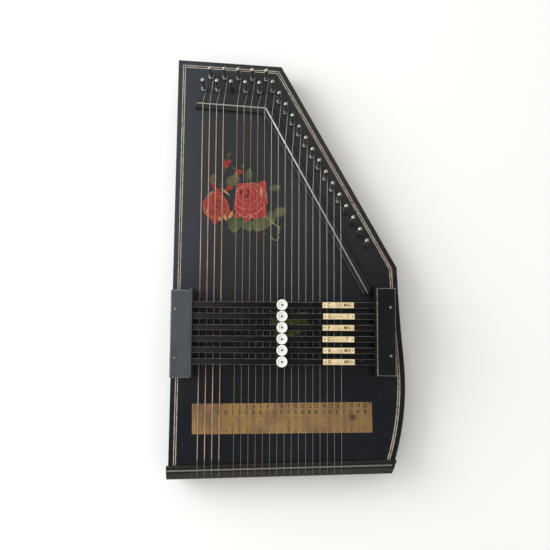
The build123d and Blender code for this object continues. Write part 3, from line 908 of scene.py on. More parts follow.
@dataclass
class BorderLines:
    """Two cream lines round the soundboard with a ladder of ticks between them."""

    inset: float = 5.0
    line: float = 1.0
    gap: float = 1.4
    lift: float = 0.03
    tick: float = 0.55
    tick_pitch: float = 3.1
    ticks_from_x: float = -6.0
    holder_margin: float = 0.1
    shortest: float = 2.0

    def plan(self, distance: float) -> BMesh:
        """The soundboard's top outline as one face, moved in by a distance in millimetres."""
        board = bmesh.new()
        board.from_mesh(frame["nodes"]["soundboard"].data)
        bmesh.ops.remove_doubles(board, verts=board.verts, dist=1e-6)
        top = max(vertex.co.z for vertex in board.verts)
        low = [face for face in board.faces if min(v.co.z for v in face.verts) < top - 1e-5]
        bmesh.ops.delete(board, geom=low, context="FACES")
        corner = min((v for v in board.verts if v.is_boundary), key=lambda v: v.co.x)
        ring, last = [corner], None
        while len(ring) < 2 or ring[-1] is not corner:
            rims = [e for e in ring[-1].link_edges if e.is_boundary and e is not last]
            last = rims[0]
            ring.append(last.other_vert(ring[-1]))
        spots = [ring[0].co]
        for vertex in ring[1:-1]:
            if (vertex.co - spots[-1]).length > self.shortest * MM:
                spots.append(vertex.co)
        plan = bmesh.new()
        face = plan.faces.new([plan.verts.new((co.x, co.y, top + self.lift * MM)) for co in spots])
        face.normal_update()
        if face.normal.z < 0:
            face.normal_flip()
        LOG.info("border: %d of %d outline points kept", len(spots), len(ring) - 1)
        board.free()
        bmesh.ops.inset_region(
            plan, faces=[face], thickness=distance * MM, use_even_offset=True, use_boundary=True
        )
        return plan

    def ticks(self, mesh: BMesh) -> None:
        """Adds the ladder's ticks along the middle of the gap."""
        middle = self.plan(self.inset + self.line + self.gap / 2)
        face = max(middle.faces, key=lambda f: f.calc_area())
        ring = [vertex.co.copy() for vertex in face.verts]
        middle.free()
        travelled = 0.0
        for start, end in zip(ring, ring[1:] + ring[:1]):
            run = end - start
            turn = Matrix.Rotation(math.atan2(run.y, run.x), 4, "Z")
            shape = Matrix.Diagonal((self.tick * MM, self.gap * MM, 1.0, 1.0))
            at = self.tick_pitch * MM - travelled % (self.tick_pitch * MM)
            while at < run.length:
                spot = start + run.normalized() * at
                if spot.x > self.ticks_from_x * MM:
                    bmesh.ops.create_grid(
                        mesh, x_segments=1, y_segments=1, size=0.5,
                        matrix=Matrix.Translation(spot) @ turn @ shape,
                    )
                at += self.tick_pitch * MM
            travelled += run.length

    def clear_of_rails(self, mesh: BMesh) -> None:
        """Cuts the lines off at the tail rail and leaves them out under the bass holder."""
        rail = [v.co for v in frame["nodes"]["tail_rail"].data.vertices]
        low, high = min(c.x for c in rail), max(c.x for c in rail)
        bass = max((c for c in rail if c.x < low + 0.003), key=lambda c: c.y)
        treble = max((c for c in rail if c.x > high - 0.003), key=lambda c: c.y)
        across = (treble - bass).cross(Vector((0.0, 0.0, 1.0)))
        bmesh.ops.bisect_plane(
            mesh, geom=[*mesh.verts, *mesh.edges, *mesh.faces], plane_co=bass, plane_no=across,
            clear_outer=True,
        )
        block = [v.co for v in frame["nodes"]["holders"].data.vertices if v.co.x < 0]
        start = min(c.y for c in block) - self.holder_margin * MM
        stop = max(c.y for c in block) + self.holder_margin * MM
        for level in (start, stop):
            bmesh.ops.bisect_plane(
                mesh, geom=[*mesh.verts, *mesh.edges, *mesh.faces], plane_co=(0.0, level, 0.0),
                plane_no=(0.0, 1.0, 0.0),
            )
        hidden = [
            face for face in mesh.faces
            if start < face.calc_center_median().y < stop and face.calc_center_median().x < 0
        ]
        bmesh.ops.delete(mesh, geom=hidden, context="FACES")

    def build(self) -> None:
        """Makes the lines and their ticks."""
        mesh = self.plan(self.inset)
        inner = max(mesh.faces, key=lambda f: f.calc_area())
        bmesh.ops.delete(mesh, geom=[f for f in mesh.faces if f is not inner], context="FACES_ONLY")
        for width, kept in ((self.line, True), (self.gap, False), (self.line, True)):
            inner = max(mesh.faces, key=lambda f: f.calc_area())
            ring = bmesh.ops.inset_region(
                mesh, faces=[inner], thickness=width * MM, use_even_offset=True, use_boundary=True
            )["faces"]
            if not kept:
                bmesh.ops.delete(mesh, geom=ring, context="FACES_ONLY")
        inner = max(mesh.faces, key=lambda f: f.calc_area())
        bmesh.ops.delete(mesh, geom=[inner], context="FACES_ONLY")
        self.ticks(mesh)
        self.clear_of_rails(mesh)
        settle(mesh, "border_lines", LinePaint("lining_cream").material(), "root")


@dataclass(frozen=True)
class Bloom:
    """A rose or bud: where it is, its size in millimetres and how it is painted."""

    centre: Point
    width: float
    height: float
    petals: int
    heart: Point = (0.0, 0.0)
    start_angle: float = 0.0
    tone: float = 0.2


@dataclass(frozen=True)
class Leaf:
    """A painted patch, a leaf or a petal.

    Attributes:
        foot: Where it starts, in millimetres.
        angle: The way it points, in degrees from +X.
        length: Its length in millimetres.
        width: Its width in millimetres.
        tone: How much of the paint's other colour it has.
        bend: How far its tip swings aside, as a share of its length.
    """

    foot: Point
    angle: float
    length: float
    width: float
    tone: float = 0.0
    bend: float = 0.12


@dataclass
class TransferPicture:
    """A picture of overlapping flat patches of paint on the soundboard."""

    lift: float = 0.03
    layer: float = 0.005
    parts: tuple[int, int] = (6, 10)

    def __post_init__(self) -> None:
        """Finds the level of the soundboard and starts at the lowest layer."""
        self.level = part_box("soundboard")[1].z + self.lift * MM
        self.layers = 0

    def start(self) -> BMesh:
        """An empty bmesh with the map and the tone that the paint reads."""
        mesh = bmesh.new()
        mesh.loops.layers.uv.new("UVMap")
        mesh.faces.layers.float.new("tone")
        return mesh

    def patch(self, mesh: BMesh, growth: Growth, leaf: Leaf) -> None:
        """Adds one petal or leaf above all the earlier ones.

        Args:
            mesh: The bmesh to paint on.
            growth: Whether it is a petal or a leaf.
            leaf: Where it is, its size and its tone.
        """
        columns, rows = self.parts
        new = bmesh.ops.create_grid(mesh, x_segments=columns, y_segments=rows, size=1.0)["verts"]
        uv = mesh.loops.layers.uv["UVMap"]
        painted = mesh.faces.layers.float["tone"]
        for face in {face for vertex in new for face in vertex.link_faces}:
            face[painted] = leaf.tone
            for loop in face.loops:
                loop[uv].uv = ((loop.vert.co.x + 1) / 2, (loop.vert.co.y + 1) / 2)
        self.layers += 1
        turn = Matrix.Rotation(math.radians(leaf.angle - 90), 3, "Z")
        for vertex in new:
            across, along = vertex.co.x, vertex.co.y
            share = (along + 1) / 2
            if growth is Growth.PETAL:
                x = across * math.sqrt(1 - along * along / 2) * (0.62 + 0.38 * share)
                y = (along * math.sqrt(1 - across * across / 2) + 1) / 2
                y += 0.035 * math.sin(5 * across + 9 * leaf.tone) * share
            else:
                x = across * math.sin(math.pi * share) ** 0.8 * (1 + 0.10 * math.sin(22 * share))
                y = share
            side = x * leaf.width / 2 + leaf.bend * leaf.length * y * y
            spot = turn @ Vector((side, y * leaf.length, 0.0))
            place = (leaf.foot[0] + spot.x) * MM, (leaf.foot[1] + spot.y) * MM
            vertex.co = (*place, self.level + self.layers * self.layer * MM)

    def bloom(self, mesh: BMesh, rose: Bloom) -> None:
        """Adds a rose: petals that wind in from the outside, each over the last."""
        chance = random.Random(rose.petals * 7 + int(rose.width))
        for number in range(rose.petals):
            share = number / max(1, rose.petals - 1)
            angle = rose.start_angle + number * GOLDEN_TURN
            size = 0.60 - 0.44 * share ** 0.8
            reach = 0.5 * (1 - share) ** 0.75
            x = rose.centre[0] + rose.heart[0] * share
            y = rose.centre[1] + rose.heart[1] * share
            outwards = (math.cos(math.radians(angle)), math.sin(math.radians(angle)))
            length = rose.height * size * chance.uniform(0.92, 1.06)
            tip = (x + outwards[0] * rose.width * reach, y + outwards[1] * rose.height * reach)
            foot = (tip[0] - outwards[0] * length, tip[1] - outwards[1] * length)
            wide = length * chance.uniform(1.20, 1.45)
            tone = min(1.0, max(0.0, rose.tone + chance.uniform(-0.2, 0.35)))
            bend = chance.uniform(-0.08, 0.08)
            self.patch(mesh, Growth.PETAL, Leaf(foot, angle, length, wide, tone, bend))

    def leaf(self, mesh: BMesh, leaf: Leaf) -> None:
        """Adds a leaf and a pale vein along its middle."""
        vein = replace(leaf, length=leaf.length * 0.97, width=leaf.width * 0.10, tone=1.0)
        self.patch(mesh, Growth.LEAF, leaf)
        self.patch(mesh, Growth.LEAF, vein)

    def stem(self, mesh: BMesh, points: Sequence[Point], width: float, tone: float) -> None:
        """Adds a thin painted stem.

        Args:
            mesh: The bmesh to paint on.
            points: The points it goes through, in millimetres.
            width: Its width in millimetres.
            tone: How much of the paint's other colour it has.
        """
        self.layers += 1
        level = self.level + self.layers * self.layer * MM
        route = [Vector((x * MM, y * MM, level)) for x, y in points]
        painted = mesh.faces.layers.float["tone"]
        rungs = []
        for number, spot in enumerate(route):
            run = route[min(number + 1, len(route) - 1)] - route[max(number - 1, 0)]
            side = Vector((-run.y, run.x, 0.0)).normalized() * width * MM / 2
            rungs.append((mesh.verts.new(spot - side), mesh.verts.new(spot + side)))
        for (left, right), (next_left, next_right) in zip(rungs, rungs[1:]):
            face = mesh.faces.new((left, next_left, next_right, right))
            face[painted] = tone


def curl(
    start: Point, radius: float, from_angle: float, sweep: float, steps: int = 10
) -> list[Point]:
    """Points along an arc that starts at a point.

    Args:
        start: The first point, in millimetres.
        radius: The arc's radius.
        from_angle: The angle of the first point about the arc's centre, in degrees.
        sweep: How far the arc goes round, in degrees.
        steps: How many runs it has.

    Returns:
        The points.
    """
    first = math.radians(from_angle)
    centre = (start[0] - radius * math.cos(first), start[1] - radius * math.sin(first))
    turns = [first + math.radians(sweep) * step / steps for step in range(steps + 1)]
    return [(centre[0] + radius * math.cos(t), centre[1] + radius * math.sin(t)) for t in turns]


@dataclass
class RoseSpray(TransferPicture):
    """Two open roses with buds, leaves and tendrils."""

    roses: tuple[Bloom, ...] = (
        Bloom((-85.8, 69.0), 31.0, 40.0, 13, (2.0, 4.0), 205.0, 0.25),
        Bloom((-44.8, 76.9), 41.0, 46.0, 21, (-8.0, 9.0), 250.0, 0.15),
    )
    guards: tuple[Leaf, ...] = (
        Leaf((-42.0, 77.0), 56.0, 27.0, 17.0, 0.55, -0.06),
        Leaf((-43.0, 75.0), -46.0, 25.0, 17.0, 0.15, 0.08),
        Leaf((-47.0, 74.0), -136.0, 25.0, 16.0, 0.05, -0.08),
        Leaf((-47.0, 77.0), 127.0, 24.0, 17.0, 0.10, 0.06),
        Leaf((-40.0, 67.0), -119.0, 21.0, 9.0, 0.35, 0.15),
        Leaf((-84.5, 66.0), -97.0, 19.0, 13.0, 0.20, 0.10),
        Leaf((-82.0, 68.0), -48.0, 19.0, 12.0, 0.65, -0.10),
        Leaf((-88.0, 70.0), 168.0, 15.0, 15.0, 0.50, 0.10),
        Leaf((-84.0, 72.0), 103.0, 19.0, 12.0, 0.15, 0.10),
    )
    gilt: tuple[Leaf, ...] = (
        Leaf((-82.5, 91.5), -28.0, 15.0, 2.6, 0.1, 0.18),
        Leaf((-98.5, 80.5), 32.0, 11.0, 2.0, 0.7, -0.20),
        Leaf((-66.5, 64.0), -106.0, 12.0, 4.2, 0.4, 0.18),
        Leaf((-77.5, 60.0), -62.0, 9.5, 3.6, 0.8, 0.10),
        Leaf((-83.0, 57.5), -72.0, 7.0, 2.8, 0.9, 0.10),
        Leaf((-52.0, 60.5), -12.0, 12.0, 1.4, 0.0, 0.18),
        Leaf((-32.5, 79.0), 88.0, 14.0, 3.2, 0.2, -0.06),
        Leaf((-97.5, 69.0), -82.0, 9.0, 1.6, 0.6, 0.15),
    )
    buds: tuple[Bloom, ...] = (
        Bloom((-74.2, 122.6), 11.0, 12.0, 5, (0.0, 1.0), 250.0, 0.1),
        Bloom((-58.8, 111.4), 10.0, 9.5, 4, (0.0, 1.0), 200.0, 0.3),
        Bloom((-88.5, 93.0), 9.0, 9.0, 4, (0.0, 0.5), 120.0, 0.2),
        Bloom((-71.5, 90.5), 9.5, 10.0, 4, (0.0, 0.5), 40.0, 0.3),
    )
    greens: tuple[Leaf, ...] = (
        Leaf((-49.5, 96.0), 86.0, 20.0, 10.0, 0.0, 0.1),
        Leaf((-66.0, 61.0), -76.0, 24.0, 18.0, 0.15, 0.15),
        Leaf((-55.0, 56.0), -62.0, 20.0, 13.0, 0.05, -0.1),
        Leaf((-28.0, 60.0), -112.0, 24.0, 20.0, 0.6, 0.1),
        Leaf((-21.0, 64.0), -92.0, 17.0, 12.0, 0.45, -0.1),
        Leaf((-17.0, 57.0), 42.0, 16.0, 12.0, 0.8, 0.05),
        Leaf((-24.0, 89.0), 28.0, 15.0, 8.0, 0.3, 0.2),
        Leaf((-74.2, 127.0), 72.0, 9.0, 3.2, 0.2, 0.2),
        Leaf((-58.0, 115.0), 58.0, 8.0, 3.0, 0.2, 0.2),
        Leaf((-68.5, 117.0), -20.0, 5.5, 2.4, 0.5, 0.1),
        Leaf((-72.0, 92.0), 68.0, 17.0, 13.0, 0.95, 0.1),
        Leaf((-90.0, 94.0), 96.0, 15.0, 9.0, 0.85, 0.1),
        Leaf((-60.0, 98.0), 118.0, 13.0, 8.0, 0.9, 0.1),
    )

    def build(self) -> None:
        """Makes the leaves, the stems and the roses over them."""
        leaves = self.start()
        self.stem(leaves, [(-82.0, 88.0), (-80.5, 100.0), (-78.0, 110.0), (-75.0, 118.0)], 1.6, 0.6)
        self.stem(leaves, [(-62.0, 88.0), (-63.0, 97.0), (-60.5, 107.0)], 1.2, 0.6)
        for leaf in self.greens:
            self.leaf(leaves, leaf)
        green = TransferPaint(
            "leaf_paint", (0.024, 0.038, 0.026), (0.060, 0.088, 0.040), (0.13, 0.135, 0.06),
            (0.14, 0.115, 0.055), lip_from=0.72,
        )
        settle(leaves, "rose_leaves", green.material(), "root")
        flowers = self.start()
        for bud in self.buds:
            self.bloom(flowers, bud)
        for guard in self.guards:
            self.patch(flowers, Growth.LEAF, guard)
        for rose in self.roses:
            self.bloom(flowers, rose)
        red = TransferPaint(
            "rose_paint", (0.030, 0.004, 0.006), (0.31, 0.028, 0.030), (0.44, 0.15, 0.10),
            (0.37, 0.065, 0.030), lip_from=0.90,
        )
        settle(flowers, "rose_petals", red.material(), "root")
        edges = self.start()
        for tip in self.gilt:
            self.patch(edges, Growth.LEAF, tip)
        pale = TransferPaint(
            "petal_edge_paint", (0.40, 0.10, 0.06), (0.50, 0.24, 0.13), (0.50, 0.38, 0.17),
            (0.42, 0.33, 0.12),
        )
        settle(edges, "petal_edges", pale.material(), "root")
        tendrils = self.start()
        self.stem(tendrils, [(-28.0, 57.0), (-20.0, 52.0), (-15.5, 46.5), (-9.0, 44.0)], 1.0, 0.4)
        self.stem(tendrils, curl((-15.0, 46.5), 5.0, 40.0, 130.0), 0.8, 0.2)
        self.stem(tendrils, curl((-11.5, 45.0), 13.0, 20.0, -42.0), 0.8, 0.8)
        self.stem(tendrils, curl((-11.0, 33.5), 4.4, 10.0, -200.0), 0.8, 0.6)
        gold = TransferPaint(
            "tendril_paint", (0.22, 0.20, 0.075), (0.22, 0.20, 0.075), (0.30, 0.27, 0.10),
            (0.34, 0.27, 0.08),
        )
        settle(tendrils, "rose_tendrils", gold.material(), "root")


@dataclass
class GreenSprig(TransferPicture):
    """A small green spray that shows between the chord bars."""

    centre: Point = (2.0, -72.5)
    width: float = 52.0
    height: float = 40.0
    leaves: int = 20

    def build(self) -> None:
        """Makes the sprig's stem and leaves."""
        x, y = self.centre
        mesh = self.start()
        self.stem(
            mesh, [(x - 19, y - 6), (x - 8, y - 2), (x + 2, y), (x + 12, y + 4), (x + 20, y + 9)],
            1.3, 0.3,
        )
        for number in range(self.leaves):
            share = number / (self.leaves - 1)
            foot = (x - self.width * 0.36 + share * self.width * 0.68, y - 4 + share * 8)
            up = 1 if number % 2 else -1
            length = self.height * (0.42 - 0.12 * share)
            self.leaf(mesh, Leaf(foot, 20 + up * 62, length, 11.0, 0.3 * up + 0.4))
        green = TransferPaint(
            "sprig_paint", (0.040, 0.060, 0.010), (0.10, 0.14, 0.022), (0.17, 0.20, 0.04),
            (0.20, 0.20, 0.035), lip_from=0.75,
        )
        settle(mesh, "green_sprig", green.material(), "root")


@dataclass
class ScaleLabel:
    """The long gold label under the strings, with numbers and note letters for the strings."""

    centre: Point = (-6.4, -180.45)
    length: float = 209.5
    width: float = 34.9
    turn: float = 0.9
    thickness: float = 0.12
    lift: float = 0.02
    figures: int = 20
    figure_pitch: float = 8.1
    last_figure: float = 8.0
    notes: str = "FGACDEFGABCDEFGABBCDEFGAB"
    rows: tuple[float, ...] = (3.9, 10.9, 15.6, 31.2)
    marks: int = 58
    mark_rows: int = 4
    mark_pitch: float = 3.3

    def __post_init__(self) -> None:
        """Finds where the label lies on the soundboard."""
        self.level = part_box("soundboard")[1].z + self.lift * MM
        self.place = Matrix.Translation(
            (self.centre[0] * MM, self.centre[1] * MM, self.level)
        ) @ Matrix.Rotation(math.radians(self.turn), 4, "Z")

    def sheet(self) -> BMesh:
        """The paper."""
        size = (self.length, self.width)
        return sheet_of_paper(size, self.thickness, (60, 12), (0.12, 0.12), 5, self.place)

    def spot(self, from_treble: float, from_top: float) -> Matrix:
        """A place on the paper, in millimetres from its treble end and its top edge."""
        return self.place @ Matrix.Translation(
            (
                (self.length / 2 - from_treble) * MM,
                (self.width / 2 - from_top) * MM,
                (self.thickness + 0.01) * MM,
            )
        )

    def printing(self, press: Press) -> BMesh:
        """The figures, letters, rules and marks printed on the paper."""
        chance = random.Random(11)
        mesh = bmesh.new()
        for figure in range(1, self.figures + 1):
            across = self.last_figure + (self.figures - figure) * self.figure_pitch
            press.print(mesh, str(figure), self.spot(across, self.rows[0]), 5.0 * MM, 0.72)
        for number, note in enumerate(self.notes):
            across = self.last_figure + (PLACES - 1 - number) * self.figure_pitch
            press.print(mesh, note, self.spot(across, self.rows[1]), 4.8 * MM, 0.85)
            press.print(mesh, note.lower(), self.spot(across, self.rows[3]), 3.0 * MM, 0.9)
            level = self.rows[2] + 2.2 + 5.5 * abs(math.sin(number * 0.43))
            mark = Matrix.Rotation(chance.uniform(-0.5, 0.5), 4, "Z")
            bar_of_ink(mesh, self.spot(across, level) @ mark, 2.2 * MM, 0.8 * MM)
        for row in range(self.mark_rows):
            for number in range(self.marks):
                across = 5.0 + number * (self.length - 10.0) / self.marks
                across += chance.uniform(-0.6, 0.6)
                level = 18.4 + row * self.mark_pitch + chance.uniform(-0.4, 0.4)
                mark = Matrix.Rotation(chance.uniform(-1.2, 1.2), 4, "Z")
                size = chance.uniform(0.8, 1.9)
                bar_of_ink(mesh, self.spot(across, level) @ mark, size * MM, 0.45 * MM)
        middle = self.spot(self.length / 2, self.rows[2])
        bar_of_ink(mesh, middle, (self.length - 6) * MM, 0.25 * MM)
        corner = Matrix.Rotation(math.radians(-38), 4, "Z")
        bar_of_ink(mesh, self.spot(1.7, 1.5) @ corner, 3.0 * MM, 1.5 * MM)
        return mesh

    def build(self, press: Press) -> None:
        """Makes the paper and its printing."""
        stain = self.place @ Vector(((0.5 - 0.108) * self.length * MM, 0.0, 0.0))
        paper = GiltPaper("gilt_paper", (stain.x / MM, stain.y / MM))
        settle(self.sheet(), "scale_label", paper.material(), "root")
        ink = PrintInk("label_ink", (0.014, 0.009, 0.007), (0.055, 0.032, 0.016))
        settle(self.printing(press), "scale_printing", ink.material(), "root")


@dataclass
class BarLabel:
    """A cream paper label on top of a chord bar, with its chord's name and two tacks."""

    bar: int
    words: tuple[str, str]
    shift: Point = (0.0, 0.0)
    start_x: float = 39.7
    end_x: float = 75.7
    width: float = 6.5
    thickness: float = 0.14
    lift: float = 0.02
    ink_lift: float = 0.03
    tack_in: float = 2.2

    def __post_init__(self) -> None:
        """Finds the top of the label's bar."""
        low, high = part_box(f"chord_bar_{self.bar}")
        middle = ((self.start_x + self.end_x) / 2 + self.shift[0]) * MM
        across = (low.y + high.y) / 2 + self.shift[1] * MM
        self.origin = Matrix.Translation((middle, across, high.z))

    def sheet(self) -> BMesh:
        """The paper, just clear of the bar."""
        size = (self.end_x - self.start_x, self.width)
        place = self.origin @ Matrix.Translation((0.0, 0.0, self.lift * MM))
        return sheet_of_paper(size, self.thickness, (14, 3), (0.1, 0.08), 20 + self.bar, place)

    def spot(self, x: float, y: float = 0.0) -> Matrix:
        """A place on the paper, in millimetres from its middle."""
        height = self.thickness + self.ink_lift
        return self.origin @ Matrix.Translation((x * MM, y * MM, height * MM))

    def printing(self, press: Press) -> BMesh:
        """The chord's name, its rules and its marks."""
        mesh = bmesh.new()
        first, second = self.words
        press.print(mesh, first, self.spot(-10.6), 4.4 * MM, 0.85)
        press.print(mesh, second, self.spot(10.2), 3.9 * MM, 0.85)
        bar_of_ink(mesh, self.spot(-5.4, -0.6), 0.8 * MM, 0.8 * MM)
        for row in (-1.4, 0.0, 1.4):
            bar_of_ink(mesh, self.spot(0.9, row), (8.6 - abs(row)) * MM, 0.28 * MM)
        return mesh

    def tacks(self) -> BMesh:
        """Two small domed tack heads."""
        mesh = bmesh.new()
        for side in Side:
            x = side.value * ((self.end_x - self.start_x) / 2 - self.tack_in)
            dome = [(0.0, 0.42), (0.36, 0.38), (0.62, 0.24), (0.75, 0.04), (0.72, 0.0), (0.0, 0.0)]
            turned(mesh, dome, self.spot(x, -0.1), 14)
        outward(mesh)
        return mesh

    def build(self, press: Press, paper: Material, ink: Material, metal: Material) -> None:
        """Makes the label, its printing and its tacks.

        Args:
            press: The press that makes its letters.
            paper: The paper's material.
            ink: The ink's material.
            metal: The tacks' material.
        """
        body = f"bar_{self.bar}"
        settle(self.sheet(), f"bar_label_{self.bar}", paper, body)
        settle(self.printing(press), f"bar_printing_{self.bar}", ink, body)
        settle(self.tacks(), f"label_tacks_{self.bar}", metal, body, smooth=True)


def turned(mesh: BMesh, profile: Sequence[Point], place: Matrix, steps: int) -> None:
    """Adds a solid turned round its own Z axis.

    Args:
        mesh: The bmesh to add to.
        profile: Radius and height pairs in millimetres, starting and ending on the axis.
        place: Where its foot goes.
        steps: How many sides it has.
    """
    spots = [mesh.verts.new((radius * MM, 0.0, height * MM)) for radius, height in profile]
    edges = [mesh.edges.new(pair) for pair in zip(spots, spots[1:])]
    known = set(mesh.verts) - set(spots)
    bmesh.ops.spin(
        mesh, geom=[*spots, *edges], cent=(0, 0, 0), axis=(0, 0, 1), angle=math.tau, steps=steps,
        use_merge=True,
    )
    new = [vertex for vertex in mesh.verts if vertex not in known]
    bmesh.ops.transform(mesh, matrix=place, verts=new)


@dataclass
class ButtonNail:
    """The round-headed nail that holds a button to its bar."""

    bar: int
    shank: float = 0.8
    head: float = 1.25
    rise: float = 0.6
    dish: float = 1.0
    shift: Point = (0.0, 0.0)

    def build(self, metal: Material) -> None:
        """Makes the nail from its button's own box."""
        low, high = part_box(f"button_{self.bar}")
        dish = high.z - self.dish * MM
        foot = (low.z - dish) / MM + 0.2
        middle = (low + high) / 2
        profile = [
            (0.0, self.rise), (self.head * 0.45, self.rise * 0.93),
            (self.head * 0.8, self.rise * 0.62),
            (self.head, self.rise * 0.12), (self.head, 0.04), (self.shank, 0.04),
            (self.shank, foot), (0.0, foot - 0.15),
        ]
        mesh = bmesh.new()
        middle += Vector((*self.shift, 0.0)) * MM
        place = Matrix.Translation((middle.x, middle.y, dish))
        turned(mesh, profile, place, 20)
        outward(mesh)
        settle(mesh, f"button_nail_{self.bar}", metal, f"bar_{self.bar}", Slot.NICKEL, smooth=True)


@dataclass
class BarSprings:
    """The two coil springs under a chord bar."""

    bar: int
    columns: tuple[float, float] = (-118.2, 106.4)
    radius: float = 2.3
    wire: float = 0.3
    floor: float = 41.6
    travel: float = 3.2
    clear: float = 0.06
    turns: int = 6
    end_pitch: float = 0.66
    steps: int = 22

    def coil(self, mesh: BMesh, x: float, y: float, height: float) -> None:
        """Adds one spring with closed ends.

        Args:
            mesh: The bmesh to add to.
            x: Its axis, in millimetres.
            y: Its axis, in millimetres.
            height: Its height in millimetres.
        """
        start = self.floor + self.clear + self.wire
        middle = (height - 2 * self.clear - 2 * self.wire - 2 * self.end_pitch) / self.turns
        place = Matrix.Translation(((x + self.radius) * MM, y * MM, start * MM))
        ring = bmesh.ops.create_circle(
            mesh, cap_ends=True, segments=7, radius=self.wire * MM,
            matrix=place @ Matrix.Rotation(math.pi / 2, 4, "X"),
        )["verts"]
        edges = {edge for vertex in ring for edge in vertex.link_edges}
        faces = {face for vertex in ring for face in vertex.link_faces}
        geom = [*ring, *edges, *faces]
        for turns, pitch in ((1, self.end_pitch), (self.turns, middle), (1, self.end_pitch)):
            steps = self.steps * turns
            geom = bmesh.ops.spin(
                mesh, geom=geom, cent=(x * MM, y * MM, start * MM), axis=(0, 0, 1),
                dvec=(0, 0, pitch * turns * MM / steps), angle=math.tau * turns, steps=steps,
            )["geom_last"]

    def build(self, metal: Material) -> Piece:
        """Makes the pair of springs."""
        low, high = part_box(f"chord_bar_{self.bar}")
        height = low.z / MM - self.floor
        mesh = bmesh.new()
        for x in self.columns:
            self.coil(mesh, x, (low.y + high.y) / 2 / MM, height)
        bmesh.ops.recalc_face_normals(mesh, faces=mesh.faces)
        piece = settle(mesh, f"springs_{self.bar}", metal, "root", Slot.SPRING, smooth=True)
        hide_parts("bar_springs")
        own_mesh(piece)
        return piece


